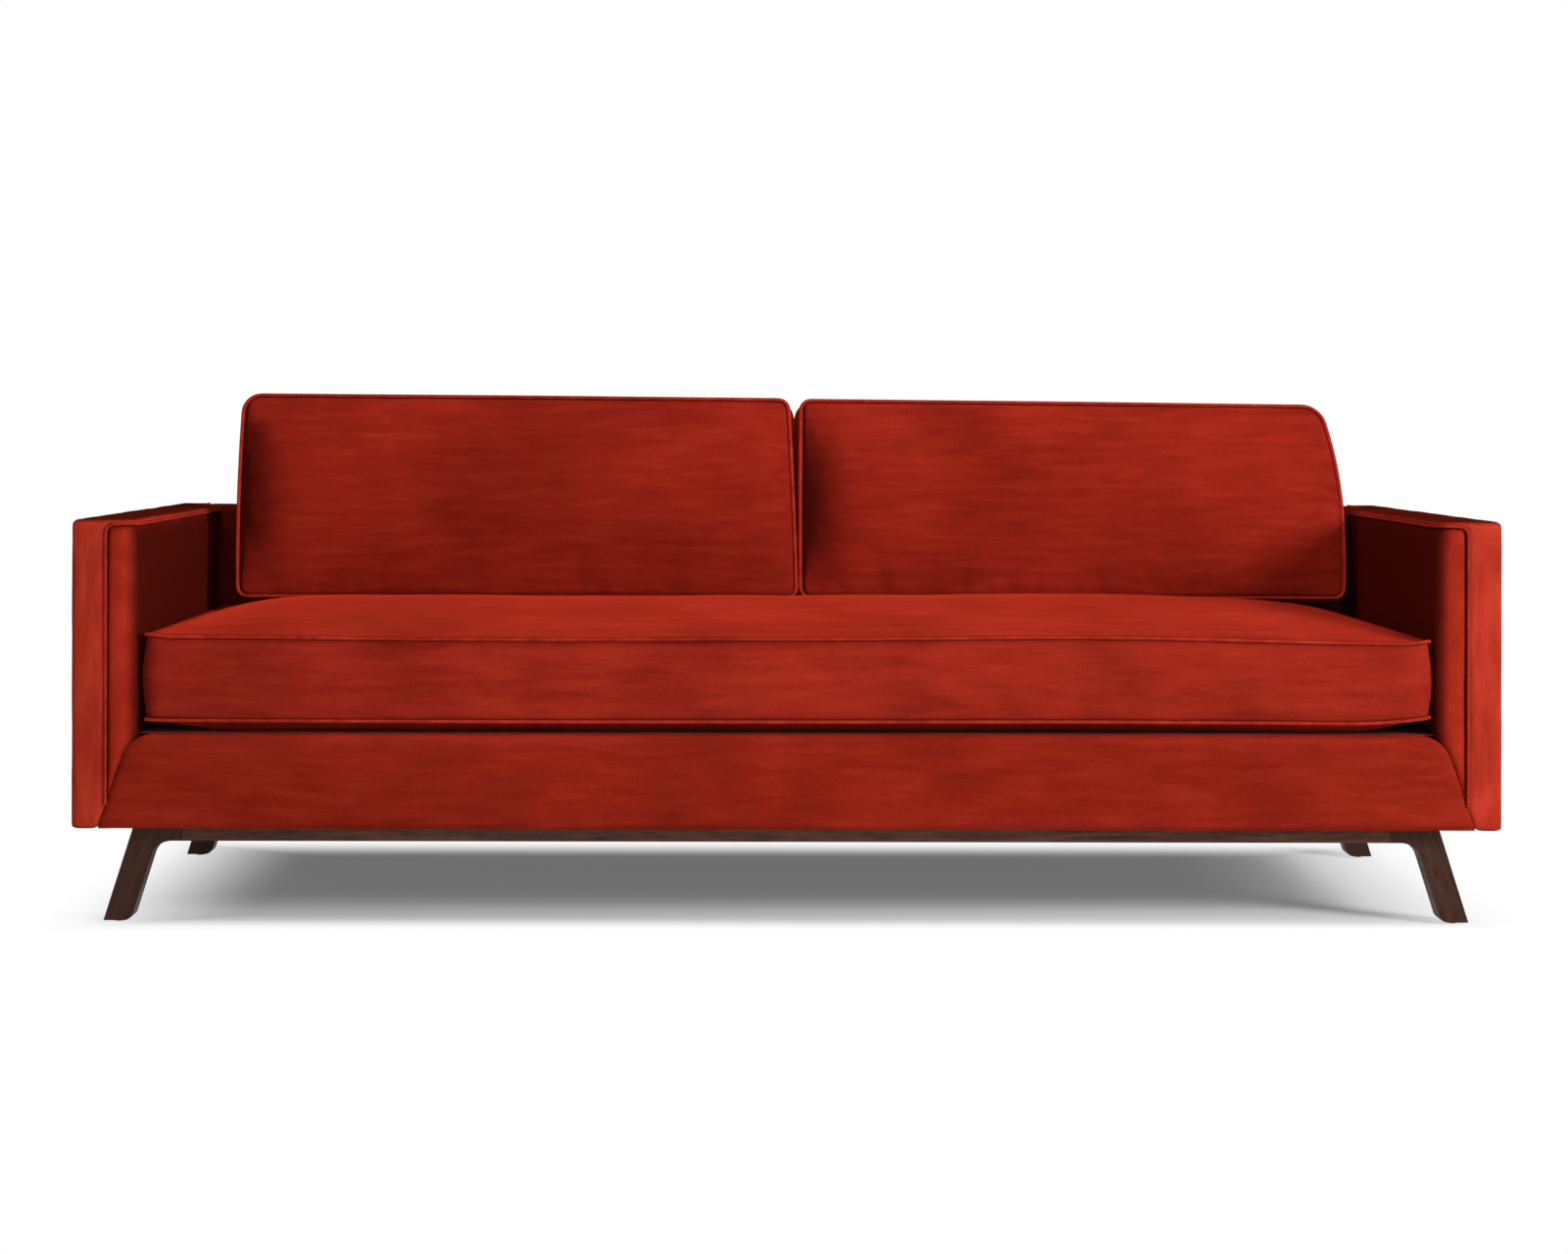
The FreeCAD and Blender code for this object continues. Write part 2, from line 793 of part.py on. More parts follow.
def make_seat_cushion():
    left = seat_shift - (arm_inner - seat_side_gap)
    right = seat_shift + (arm_inner - seat_side_gap)
    corners = [
        (seat_front, seat_bottom),
        (seat_front, seat_top),
        (seat_rear(), seat_top),
        (seat_rear(), seat_bottom),
    ]
    bulges = [seat_bulge, seat_crown, seat_bulge, seat_belly]
    reach = seat_end_bulge + 1
    body = crowned_body(left - reach, right + reach, corners, bulges, (1, 3), seat_crown_fullness)
    outline = end_outline(
        (left, left, right, right),
        seat_bottom,
        seat_top,
        seat_bottom - outline_reach,
        seat_top + outline_reach,
        (seat_end_bulge, seat_end_bulge),
        seat_front - outline_reach,
        seat_rear() + outline_reach,
    )
    core = cushion_core(left, right, seat_front, seat_rear(), seat_bottom, seat_top)
    rear_boxing = (corners[2], corners[3], seat_bulge)
    groove = closed_zip(*rear_boxing, left + zip_end_gap, right - zip_end_gap, zip_fit)
    nodes["seat_cushion_cover"] = body.common(outline).cut(core).cut(groove)
    nodes["seat_cushion_core"] = core
    nodes["seat_cushion_zip"] = closed_zip(*rear_boxing, left + zip_end_gap, right - zip_end_gap)


def make_back_cushion(name, ends, swells, height):
    rear_chord = -(back_rear_crown + cloth_fit)
    front = lean_y(seat_top, rear_chord) - back_cushion_thickness
    bottom = seat_top_at(front) + cushion_fit + back_front_lift
    top = bottom + height
    rear_bottom = bottom - back_bottom_drop
    rear_top = top - back_top_drop
    lean = math.tan(math.radians(back_lean))
    corners = [
        (front, bottom),
        (front + height * lean, top),
        (lean_y(rear_top, rear_chord), rear_top),
        (lean_y(rear_bottom, rear_chord), rear_bottom),
    ]
    bulges = [back_crown, back_top_bulge, back_rear_crown, back_bottom_bulge]
    reach = max(swells) + 1
    body = crowned_body(
        min(ends) - reach, max(ends) + reach, corners, bulges, (0, 2), back_crown_fullness
    )
    crest = top + back_top_bulge
    outline = end_outline(
        ends,
        bottom,
        crest,
        rear_bottom - outline_reach,
        crest,
        swells,
        front - outline_reach,
        half_depth,
    )
    outline = rounded(
        outline,
        back_corner_radius,
        lambda p: near(p.z, crest) and (near(p.x, ends[1]) or near(p.x, ends[2])),
    )
    thickness = corners[3][0] - corners[0][0]
    core_outline = [
        (corners[0][0] + core_margin, bottom + core_margin),
        (corners[1][0] + core_margin - core_margin * lean, rear_top - core_margin),
        (corners[1][0] + thickness - 2 * core_margin, rear_top - core_margin),
        (corners[0][0] + thickness - core_margin, bottom + core_margin),
    ]
    core = push_along_x(
        core_outline,
        max(ends[0], ends[1]) + core_margin,
        min(ends[2], ends[3]) - core_margin,
    )
    bottom_boxing = (corners[3], corners[0], back_bottom_bulge)
    zip_ends = (max(ends[0], ends[1]) + zip_end_gap, min(ends[2], ends[3]) - zip_end_gap)
    groove = closed_zip(*bottom_boxing, *zip_ends, zip_fit)
    nodes[name + "_cover"] = body.common(outline).cut(core).cut(groove)
    nodes[name + "_core"] = core
    nodes[name + "_zip"] = closed_zip(*bottom_boxing, *zip_ends)


make_leg_frames()
make_seat_frame()
make_front_panel()
make_arm()
make_back()
make_deck()
make_seat_cushion()
make_back_cushion(
    "left_back_cushion",
    (
        left_cushion_arm_gap - arm_inner,
        left_cushion_arm_gap + left_cushion_outer_taper - arm_inner,
        left_cushion_inner_end - left_cushion_inner_taper,
        left_cushion_inner_end,
    ),
    (left_cushion_outer_bulge, left_cushion_inner_bulge),
    left_cushion_height,
)
make_back_cushion(
    "right_back_cushion",
    (
        right_cushion_inner_end,
        right_cushion_inner_end + right_cushion_inner_taper,
        arm_inner - right_cushion_arm_gap - right_cushion_outer_taper,
        arm_inner - right_cushion_arm_gap,
    ),
    (right_cushion_inner_bulge, right_cushion_outer_bulge),
    right_cushion_height,
)

os.makedirs("parts", exist_ok=True)
for node_name, node_shape in nodes.items():
    node_shape.exportStep("parts/" + node_name + ".step")
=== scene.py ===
import math

import bmesh
import bpy
from mathutils import Euler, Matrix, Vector, noise


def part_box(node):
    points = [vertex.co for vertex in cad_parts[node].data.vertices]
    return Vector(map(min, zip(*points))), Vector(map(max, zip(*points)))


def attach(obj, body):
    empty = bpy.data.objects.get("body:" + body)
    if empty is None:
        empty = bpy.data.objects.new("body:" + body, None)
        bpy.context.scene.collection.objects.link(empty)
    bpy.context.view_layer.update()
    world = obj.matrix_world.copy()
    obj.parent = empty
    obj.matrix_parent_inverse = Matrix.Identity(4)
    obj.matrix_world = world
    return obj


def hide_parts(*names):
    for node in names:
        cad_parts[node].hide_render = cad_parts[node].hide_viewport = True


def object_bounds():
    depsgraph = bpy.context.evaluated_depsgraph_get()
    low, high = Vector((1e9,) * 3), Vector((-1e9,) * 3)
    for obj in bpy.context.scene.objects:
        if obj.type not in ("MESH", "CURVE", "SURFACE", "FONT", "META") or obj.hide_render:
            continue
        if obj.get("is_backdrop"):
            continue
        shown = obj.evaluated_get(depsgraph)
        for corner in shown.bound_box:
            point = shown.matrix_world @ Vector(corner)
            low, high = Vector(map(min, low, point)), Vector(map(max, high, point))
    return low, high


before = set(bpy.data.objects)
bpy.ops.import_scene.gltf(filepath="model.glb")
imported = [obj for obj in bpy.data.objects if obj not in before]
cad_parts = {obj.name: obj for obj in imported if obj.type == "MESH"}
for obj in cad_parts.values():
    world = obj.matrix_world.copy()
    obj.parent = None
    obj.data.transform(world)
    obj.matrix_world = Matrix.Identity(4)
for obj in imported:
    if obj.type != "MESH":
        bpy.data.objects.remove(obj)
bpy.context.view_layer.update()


# The viewpoint: straight on and level, just left of the middle, from 4.6 m in front of the arms.
# The lens is long, so the arms hardly spread, and it is shifted to frame the sofa from eye height.
lens_data = bpy.data.cameras.new("viewpoint")
lens_data.sensor_width = 36
lens_data.lens = 67.7
lens_data.shift_x = 0.0306
lens_data.shift_y = -0.1312
lens_data.clip_end = 60
viewpoint = bpy.data.objects.new("viewpoint", lens_data)
viewpoint.location = (-0.080, -5.0575, 0.790)
viewpoint.rotation_euler = Euler((math.radians(90), math.radians(-0.11), 0), "XYZ")
bpy.context.scene.collection.objects.link(viewpoint)
bpy.context.scene.camera = viewpoint


# The leg frames: solid walnut, stained dark and sealed with a low satin lacquer. Each frame is a
# base rail under the body with a splayed leg tenoned to each end, rounded at the knee and the toe.
def linear(colour):
    """An sRGB hex colour as the linear value that a shader takes."""
    parts = [int(colour[i:i + 2], 16) / 255 for i in (1, 3, 5)]
    return [c / 12.92 if c <= 0.04045 else ((c + 0.055) / 1.055) ** 2.4 for c in parts] + [1.0]


def add_node(tree, kind, settings=(), links=()):
    """A shader node with its settings, and links into it as {input: (node, output)}."""
    node = tree.nodes.new("ShaderNode" + kind)
    for key, value in dict(settings).items():
        if isinstance(key, int) or key in node.inputs:
            node.inputs[key].default_value = value
        else:
            setattr(node, key, value)
    for key, (source, output) in dict(links).items():
        tree.links.new(source.outputs[output], node.inputs[key])
    return node


def new_finish(name):
    """An empty material, and its node tree with a shader that is linked to the surface."""
    finish = bpy.data.materials.new(name)
    finish.use_nodes = True
    finish.node_tree.nodes.clear()
    shader = add_node(finish.node_tree, "BsdfPrincipled")
    add_node(finish.node_tree, "OutputMaterial", {}, {"Surface": (shader, "BSDF")})
    return finish, finish.node_tree, shader


def colour_steps(tree, links, steps):
    """A ramp of (place, hex colour) steps."""
    ramp = add_node(tree, "ValToRGB", {}, links)
    while len(ramp.color_ramp.elements) < len(steps):
        ramp.color_ramp.elements.new(0.5)
    for element, (place, colour) in zip(ramp.color_ramp.elements, steps):
        element.position = place
        element.color = linear(colour)
    return ramp


def wired(tree, shader, tone, rough, bump=None):
    """Links a finish's tone and bump to its shader, and its roughness, which is a number or a
    node."""
    tree.links.new(tone.outputs["Color"], shader.inputs["Base Color"])
    if isinstance(rough, float):
        shader.inputs["Roughness"].default_value = rough
    else:
        tree.links.new(rough.outputs["Result"], shader.inputs["Roughness"])
    if bump:
        tree.links.new(bump.outputs["Normal"], shader.inputs["Normal"])


def stained_walnut(name, turn, stains):
    """Walnut in its dark, middle and light stains, its grain along X turned about Y by degrees."""
    # Fine dark pores 0.3 mm wide, drawn 1.5 mm wide, and growth bands about 9 mm apart.
    finish, tree, shader = new_finish(name)
    place = add_node(tree, "TexCoord")
    grain = add_node(
        tree, "Mapping",
        {"vector_type": "TEXTURE", "Rotation": (0, math.radians(turn), 0), "Scale": (20, 1, 1)},
        {"Vector": (place, "Object")},
    )
    bands = add_node(
        tree, "TexNoise", {"Scale": 110.0, "Detail": 3.0, "Roughness": 0.55, "Distortion": 0.6},
        {"Vector": (grain, "Vector")},
    )
    pores = add_node(
        tree, "TexNoise", {"Scale": 650.0, "Detail": 2.0, "Roughness": 0.6},
        {"Vector": (grain, "Vector")},
    )
    stain = colour_steps(
        tree, {"Fac": (bands, "Fac")}, list(zip((0.3, 0.5, 0.72), stains))
    )
    pore_depth = colour_steps(
        tree, {"Fac": (pores, "Fac")}, [(0.36, "#8A8A8A"), (0.5, "#FFFFFF")]
    )
    tone = add_node(
        tree, "MixRGB", {"blend_type": "MULTIPLY", "Fac": 0.7},
        {"Color1": (stain, "Color"), "Color2": (pore_depth, "Color")},
    )
    rough = add_node(
        tree, "MapRange", {"To Min": 0.36, "To Max": 0.52}, {"Value": (bands, "Fac")}
    )
    bump = add_node(
        tree, "Bump", {"Strength": 0.35, "Distance": 0.0004}, {"Height": (pore_depth, "Color")}
    )
    shader.inputs["IOR"].default_value = 1.5
    shader.inputs["Specular IOR Level"].default_value = 0.12
    wired(tree, shader, tone, rough, bump)
    return finish


def dress(nodes, finish):
    """Gives CAD nodes a finish in each of their material slots."""
    for node in nodes:
        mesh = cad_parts[node].data
        mesh.materials.clear()
        mesh.materials.append(finish)


rail_stains = ("#44281C", "#573629", "#664436")
leg_stains = ("#331B11", "#3B2216", "#442819")
leg_splay = 72
dress(["front_base_rail", "rear_base_rail"], stained_walnut("stained_walnut_rail", 0, rail_stains))
for side, turn in (("left", -leg_splay), ("right", leg_splay)):
    leg_walnut = stained_walnut("stained_walnut_" + side + "_leg", turn, leg_stains)
    dress(["front_" + side + "_leg", "rear_" + side + "_leg"], leg_walnut)


# The nail glides: turned steel domes, blackened, with a sole 14 mm across. Each is driven into a
# foot by its own nail, and the four carry the sofa.
def blackened_steel():
    # Oil-blackened steel: a dark metal with a soft, slightly uneven lustre.
    finish, tree, shader = new_finish("blackened_steel")
    place = add_node(tree, "TexCoord")
    wear = add_node(
        tree, "TexNoise", {"Scale": 300.0, "Detail": 3.0}, {"Vector": (place, "Object")}
    )
    tone = colour_steps(tree, {"Fac": (wear, "Fac")}, [(0.35, "#17110F"), (0.7, "#2C2522")])
    rough = add_node(tree, "MapRange", {"To Min": 0.3, "To Max": 0.5}, {"Value": (wear, "Fac")})
    shader.inputs["Metallic"].default_value = 0.8
    wired(tree, shader, tone, rough)
    return finish


dress(["nail_glides"], blackened_steel())


# The hidden frame: kiln-dried alder rails, posts and blocks, left as they come from the planer,
# with hardboard panels on the arms and back. The cloth hides them all.
def planed_alder():
    # Alder: pale reddish wood with faint growth bands about 6 mm apart.
    finish, tree, shader = new_finish("planed_alder")
    place = add_node(tree, "TexCoord")
    grain = add_node(tree, "Mapping", {"Scale": (0.06, 1, 0.5)}, {"Vector": (place, "Object")})
    bands = add_node(
        tree, "TexNoise", {"Scale": 160.0, "Detail": 4.0}, {"Vector": (grain, "Vector")}
    )
    tone = colour_steps(
        tree, {"Fac": (bands, "Fac")}, [(0.3, "#B98E66"), (0.55, "#CFA87F"), (0.8, "#D9B893")]
    )
    bump = add_node(
        tree, "Bump", {"Strength": 0.2, "Distance": 0.0003}, {"Height": (bands, "Fac")}
    )
    wired(tree, shader, tone, 0.7, bump)
    return finish


def pressed_board():
    # Hardboard: brown pressed fibres, smooth on one side, with flecks of 1 to 2 mm.
    finish, tree, shader = new_finish("pressed_hardboard")
    place = add_node(tree, "TexCoord")
    flecks = add_node(
        tree, "TexNoise", {"Scale": 500.0, "Detail": 4.0}, {"Vector": (place, "Object")}
    )
    tone = colour_steps(tree, {"Fac": (flecks, "Fac")}, [(0.3, "#5F4632"), (0.7, "#7D6047")])
    wired(tree, shader, tone, 0.8)
    return finish


alder_pieces = [
    "front_leg_cleat", "rear_leg_cleat", "leg_tenons", "front_seat_rail", "rear_seat_rail",
    "left_side_seat_rail", "right_side_seat_rail", "cross_rails", "corner_blocks",
    "left_arm_front_post", "left_arm_rear_post", "left_arm_top_rail",
    "right_arm_front_post", "right_arm_rear_post", "right_arm_top_rail",
    "back_top_rail", "back_bottom_rail", "back_uprights",
]
dress(alder_pieces, planed_alder())
dress(["left_arm_inner_board", "right_arm_inner_board", "outside_back_board"], pressed_board())


# The springs: sinuous wire of 3.8 mm, zinc plated, hooked in sheet-steel clips on the rails and
# held at one pitch by tie rods. The leg frames' screws are plated too.
def plated_steel():
    # Zinc plate: a cool bright metal, clouded by patches a few millimetres wide.
    finish, tree, shader = new_finish("zinc_plated_steel")
    place = add_node(tree, "TexCoord")
    clouds = add_node(
        tree, "TexNoise", {"Scale": 180.0, "Detail": 3.0}, {"Vector": (place, "Object")}
    )
    tone = colour_steps(tree, {"Fac": (clouds, "Fac")}, [(0.35, "#9FA1A0"), (0.7, "#C4C6C6")])
    rough = add_node(tree, "MapRange", {"To Min": 0.25, "To Max": 0.42}, {"Value": (clouds, "Fac")})
    shader.inputs["Metallic"].default_value = 1.0
    wired(tree, shader, tone, rough)
    return finish


dress(["sinuous_springs", "spring_clips", "spring_tie_rods", "leg_frame_screws"], plated_steel())


# The covers of the arms: cotton velvet over a thin wadding, stretched over the frame and pulled
# under the rails. One piece wraps the front, the outer side and the top of each arm.
def piled_velvet(
    name, nap, tones, turned=(0, 0, 0), sheen=0.3, one_way=False, soft=(0.45, 1.1), shade_red="#3C0A06"
):
    """Cotton velvet; nap is the spread of its streaks per metre along X, Y and Z, tones are its
    dark, middle and light red, and turned is how much shade is painted into the colour on faces
    that point along each axis, or one way along it, as if less light fell on them. soft is where
    that painted shade starts and ends, and the last argument is the dark red it is painted in."""
    # Cut pile 1.5 mm long, its tufts 0.4 mm apart and drawn 1.6 mm apart so that they show. It
    # gives a matt, deep red that lightens where the cloth turns away from the eye.
    finish, tree, shader = new_finish(name)
    place = add_node(tree, "TexCoord")
    lay = add_node(tree, "Mapping", {"Scale": nap}, {"Vector": (place, "Object")})
    streaks = add_node(
        tree, "TexNoise", {"Scale": 1.0, "Detail": 7.0, "Roughness": 0.62, "Distortion": 0.35},
        {"Vector": (lay, "Vector")},
    )
    patches = add_node(
        tree, "TexNoise", {"Scale": 4.5, "Detail": 3.0, "Roughness": 0.5},
        {"Vector": (place, "Object")},
    )
    tufts = add_node(
        tree, "TexNoise", {"Scale": 620.0, "Detail": 1.5, "Roughness": 0.6},
        {"Vector": (place, "Object")},
    )
    streak_tone = colour_steps(
        tree, {"Fac": (streaks, "Fac")}, list(zip((0.28, 0.5, 0.74), tones))
    )
    patch_tone = colour_steps(
        tree, {"Fac": (patches, "Fac")}, [(0.3, "#CFCFCF"), (0.62, "#FFFFFF")]
    )
    tuft_tone = colour_steps(
        tree, {"Fac": (tufts, "Fac")}, [(0.32, "#C8C8C8"), (0.6, "#FFFFFF")]
    )
    mottled = add_node(
        tree, "MixRGB", {"blend_type": "MULTIPLY", "Fac": 0.8},
        {"Color1": (streak_tone, "Color"), "Color2": (patch_tone, "Color")},
    )
    piled = add_node(
        tree, "MixRGB", {"blend_type": "MULTIPLY", "Fac": 0.5},
        {"Color1": (mottled, "Color"), "Color2": (tuft_tone, "Color")},
    )
    # Painted shade mask: the surface normal is held against turned, so faces that point that way
    # get a share of painted shade.
    facing = add_node(
        tree, "VectorMath", {"operation": "NORMALIZE" if one_way else "ABSOLUTE"},
        {"Vector": (place, "Normal")},
    )
    away = add_node(
        tree, "VectorMath", {"operation": "DOT_PRODUCT", 1: turned}, {0: (facing, "Vector")}
    )
    shade = add_node(
        tree, "MapRange", {"From Min": soft[0], "From Max": soft[1], "To Min": 0.0, "To Max": 1.0},
        {"Value": (away, "Value")},
    )
    # Painted shade: mixes the pile's red towards the dark red given for it (#3C0A06 unless set), by
    # the mask above.
    piled = add_node(
        tree, "MixRGB", {"blend_type": "MIX", "Color2": linear(shade_red)},
        {"Fac": (shade, "Result"), "Color1": (piled, "Color")},
    )
    tuft_bump = add_node(
        tree, "Bump", {"Strength": 0.35, "Distance": 0.0006}, {"Height": (tufts, "Fac")}
    )
    nap_bump = add_node(
        tree, "Bump", {"Strength": 0.28, "Distance": 0.0015},
        {"Height": (streaks, "Fac"), "Normal": (tuft_bump, "Normal")},
    )
    shader.inputs["IOR"].default_value = 1.45
    shader.inputs["Specular IOR Level"].default_value = 0.0
    shader.inputs["Sheen Weight"].default_value = sheen
    shader.inputs["Sheen Roughness"].default_value = 0.4
    shader.inputs["Sheen Tint"].default_value = linear("#EE4426")
    wired(tree, shader, piled, 0.9, nap_bump)
    return finish


# Painted light and shade: the arm velvet's reds are lighter than the other velvet pieces' so that
# it looks more lit, and faces pointing up or down, the arm tops, are painted dark.
arm_velvet_painted_light_shade = piled_velvet(
    "piled_velvet_arm_painted_light_shade", (50.0, 18.0, 10.0), ("#9E291A", "#B03423", "#C03F2C"), (0, 0, 1.0), 0.03,
    soft=(0.35, 1.03),
)


# Painted highlight and shade: the welts get lighter reds than the panels they edge, as if they
# caught more light, and their faces pointing up or down are painted dark.
welt_velvet_painted_light_shade = piled_velvet(
    "piled_velvet_welt_painted_light_shade", (50.0, 50.0, 50.0), ("#8E2115", "#A42C1E", "#B43828"), (0, 0, 1.0),
    sheen=0.2, soft=(0.55, 1.0),
)


def made(name, bm):
    """A linked object from a bmesh, smooth shaded."""
    mesh = bpy.data.meshes.new(name)
    for face in bm.faces:
        face.smooth = True
    bm.to_mesh(mesh)
    bm.free()
    piece = bpy.data.objects.new(name, mesh)
    bpy.context.scene.collection.objects.link(piece)
    return piece


def finished(piece):
    """The piece with its modifiers made part of its mesh."""
    seen = piece.evaluated_get(bpy.context.evaluated_depsgraph_get())
    mesh = bpy.data.meshes.new_from_object(seen)
    piece.modifiers.clear()
    piece.data = mesh
    mesh.name = piece.name
    return piece


cloth_ripple = 0.0008


def upholstered(name, node, voxel, rounds, swell=None, draw_in=-0.0004):
    """A stretched cover in its CAD solid's place, with soft corners and a slight unevenness."""
    bm = bmesh.new()
    bm.from_mesh(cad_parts[node].data)
    bmesh.ops.remove_doubles(bm, verts=bm.verts, dist=1e-5)
    piece = made(name, bm)
    remesh = piece.modifiers.new("weave", "REMESH")
    remesh.mode = "VOXEL"
    remesh.voxel_size = voxel
    remesh.use_smooth_shade = True
    finished(piece)
    bm = bmesh.new()
    bm.from_mesh(piece.data)
    for _ in range(rounds):
        bmesh.ops.smooth_vert(
            bm, verts=bm.verts, factor=0.5, use_axis_x=True, use_axis_y=True, use_axis_z=True
        )
    bm.normal_update()
    moves = []
    for vert in bm.verts:
        wave = cloth_ripple * (noise.noise(vert.co * 9) + noise.noise(vert.co * 31) * 0.3)
        moves.append(vert.normal * (wave - draw_in + (swell(vert.co, vert.normal) if swell else 0)))
    for vert, move in zip(bm.verts, moves):
        vert.co += move
    for face in bm.faces:
        face.smooth = True
    bm.to_mesh(piece.data)
    bm.free()
    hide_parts(node)
    return piece


def joined(piece, extra):
    """Adds the mesh of a welt to the piece, for its second finish, and removes the welt."""
    bm = bmesh.new()
    bm.from_mesh(extra.data)
    for face in bm.faces:
        face.material_index = 1
    bm.from_mesh(piece.data)
    bm.to_mesh(piece.data)
    bm.free()
    bpy.data.objects.remove(extra)
    return piece


def welt(points, width, closed=False):
    """A piped seam: a round cord of that width in cloth, along the points."""
    curve = bpy.data.curves.new("welt", "CURVE")
    curve.dimensions = "3D"
    curve.bevel_depth = width / 2
    curve.bevel_resolution = 2
    curve.resolution_u = 4
    curve.use_fill_caps = True
    spline = curve.splines.new("NURBS")
    spline.points.add(len(points) - 1)
    for point, spot in zip(spline.points, points):
        point.co = (*spot, 1)
    spline.order_u = 3
    spline.use_cyclic_u = closed
    spline.use_endpoint_u = not closed
    piece = bpy.data.objects.new("welt", curve)
    bpy.context.scene.collection.objects.link(piece)
    seen = piece.evaluated_get(bpy.context.evaluated_depsgraph_get())
    mesh = bpy.data.meshes.new_from_object(seen)
    bpy.data.objects.remove(piece)
    bm = bmesh.new()
    bm.from_mesh(mesh)
    bmesh.ops.recalc_face_normals(bm, faces=bm.faces)
    return made("welt", bm)


def painted(piece, finish, body):
    """Gives a new piece its finish and the body it moves with."""
    numbers = [0] * len(piece.data.polygons)
    piece.data.polygons.foreach_get("material_index", numbers)
    piece.data.materials.clear()
    piece.data.materials.append(finish)
    if any(numbers):
        piece.data.materials.append(welt_velvet_painted_light_shade)
        piece.data.polygons.foreach_set("material_index", numbers)
    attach(piece, body)
    return piece


arm_seam = 1.0635
arm_inner = 1.0173
arm_front = -0.4575
arm_strip = 0.627
strip_welt = arm_strip + 0.001
for side, sign in (("left", -1), ("right", 1)):
    cover = upholstered(side + "_arm_outer_cover", side + "_arm_cover", 0.005, 2)
    corner = [
        (arm_seam, arm_front, 0.19), (arm_seam, arm_front, 0.30), (arm_seam, arm_front, 0.45),
        (arm_seam, arm_front, 0.595), (arm_seam, arm_front, 0.618),
        (arm_seam - 0.006, arm_front, arm_strip - 0.0005), (arm_seam - 0.02, arm_front, strip_welt),
        (1.040, arm_front + 0.001, strip_welt), (1.024, arm_front + 0.006, strip_welt),
        (1.018, arm_front + 0.02, strip_welt), (arm_inner, arm_front + 0.04, arm_strip),
        (arm_inner, -0.3, arm_strip), (arm_inner, 0.0, arm_strip), (arm_inner, 0.31, arm_strip),
    ]
    joined(cover, welt([(sign * x, y, z) for x, y, z in corner], 0.0055))
    painted(cover, arm_velvet_painted_light_shade, "sofa_frame")


# The arm pads: a foam board glued to the arm's hardboard, under velvet that is drawn round the
# front of the arm to the welt. The foam gives the inner face its low crown.
# Painted shade: the pads' faces that point along X, the inner arm faces, are mixed towards a very
# dark red, #3C0D08, as if little light reached them.
pad_velvet_painted_shade = piled_velvet(
    "piled_velvet_inner_arm_painted_shade", (22.0, 22.0, 16.0), ("#8C2013", "#A12A1A", "#B13322"), (1.0, 0, 0),
    0.04, soft=(0.3, 1.03), shade_red="#3C0D08",
)
for side, sign in (("left", -1), ("right", 1)):
    def pad_swell(spot, normal, sign=sign):
        inward = max(0.0, -sign * normal.x)
        along = min(1.0, (spot.y - arm_front) / 0.12) * min(1.0, (0.33 - spot.y) / 0.12)
        up = min(1.0, (arm_strip - spot.z) / 0.06)
        return 0.004 * inward * max(0.0, along) ** 0.6 * max(0.0, up) ** 0.6

    pad = upholstered(side + "_arm_inner_pad", side + "_arm_pad", 0.005, 14, pad_swell)
    painted(pad, pad_velvet_painted_shade, "sofa_frame")


# The front rail's cover: velvet over a foam strip on the seat rail, its ends cut on the slant and
# sewn to the arm fronts, with a soft roll along the top and bottom edges.
slant = math.radians(20.1)
slant_foot = 1.077
rail_foot = 0.152
rail_top = 0.300
rail_front = -0.4434


def rail_swell(spot, normal):
    # The slanted ends are brought forward, level with the arms, and the foot is rolled under.
    forward = max(0.0, -normal.y)
    up = spot.z - rail_foot
    edge = (slant_foot - abs(spot.x)) * math.cos(slant) - up * math.sin(slant)
    foot = max(0.0, 0.010 - up)
    top = rail_top - spot.z
    if spot.y > rail_front:
        return 0.0
    flat = max(0.0, min(1.0, top / 0.030)) * max(0.0, spot.y - arm_front) * (edge < 0.022)
    crown = 0.0025 * min(1.0, max(0.0, edge / 0.04)) * min(1.0, max(0.0, top / 0.04))
    return forward * (flat + crown - foot ** 2 / 0.012)


# Painted shade: the rail's reds are set darker than the arms' so that it looks less lit.
rail_velvet_painted_shade = piled_velvet(
    "piled_velvet_rail_painted_shade", (9.0, 50.0, 60.0), ("#7F1E12", "#8C2315", "#982A1A"), sheen=0.25
)
rail = upholstered("front_rail_upholstery", "front_rail_cover", 0.004, 3, rail_swell)
painted(rail, rail_velvet_painted_shade, "sofa_frame")


# The back: velvet over a foam pad inside, drawn over the top rail, and a plain outside cover over
# hardboard, closed along the top and the ends by a thin seam.
def back_swell(spot, normal):
    forward = max(0.0, -normal.y)
    across = min(1.0, (arm_seam - abs(spot.x)) / 0.05)
    return 0.004 * forward * max(0.0, across) ** 0.5


inside_back = upholstered("inside_back_upholstery", "inside_back_pad", 0.006, 3, back_swell)
# Painted shade: the inside back's reds are near black, for the shade it lies in behind the back
# cushions.
inside_velvet_painted_shade = piled_velvet(
    "piled_velvet_inside_back_painted_shade", (9.0, 60.0, 75.0), ("#4C0F08", "#5C150C", "#6A1C11"), sheen=0.1
)
painted(inside_back, inside_velvet_painted_shade, "sofa_frame")
outside_back = upholstered("outside_back_upholstery", "outside_back_cover", 0.006, 2)
low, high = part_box("outside_back_cover")
seam_height = high.z - 0.001
closing = [
    (low.x, high.y - 0.004), (low.x, low.y + 0.02), (low.x + 0.003, low.y), (low.x + 0.03, low.y),
    (0, low.y), (high.x - 0.03, low.y), (high.x - 0.003, low.y), (high.x, low.y + 0.02),
    (high.x, high.y - 0.004),
]
joined(outside_back, welt([(x, y, seam_height) for x, y in closing], 0.0045))
# The outside back takes the arm velvet, with its lighter painted reds and painted shade on its top.
painted(outside_back, arm_velvet_painted_light_shade, "sofa_frame")


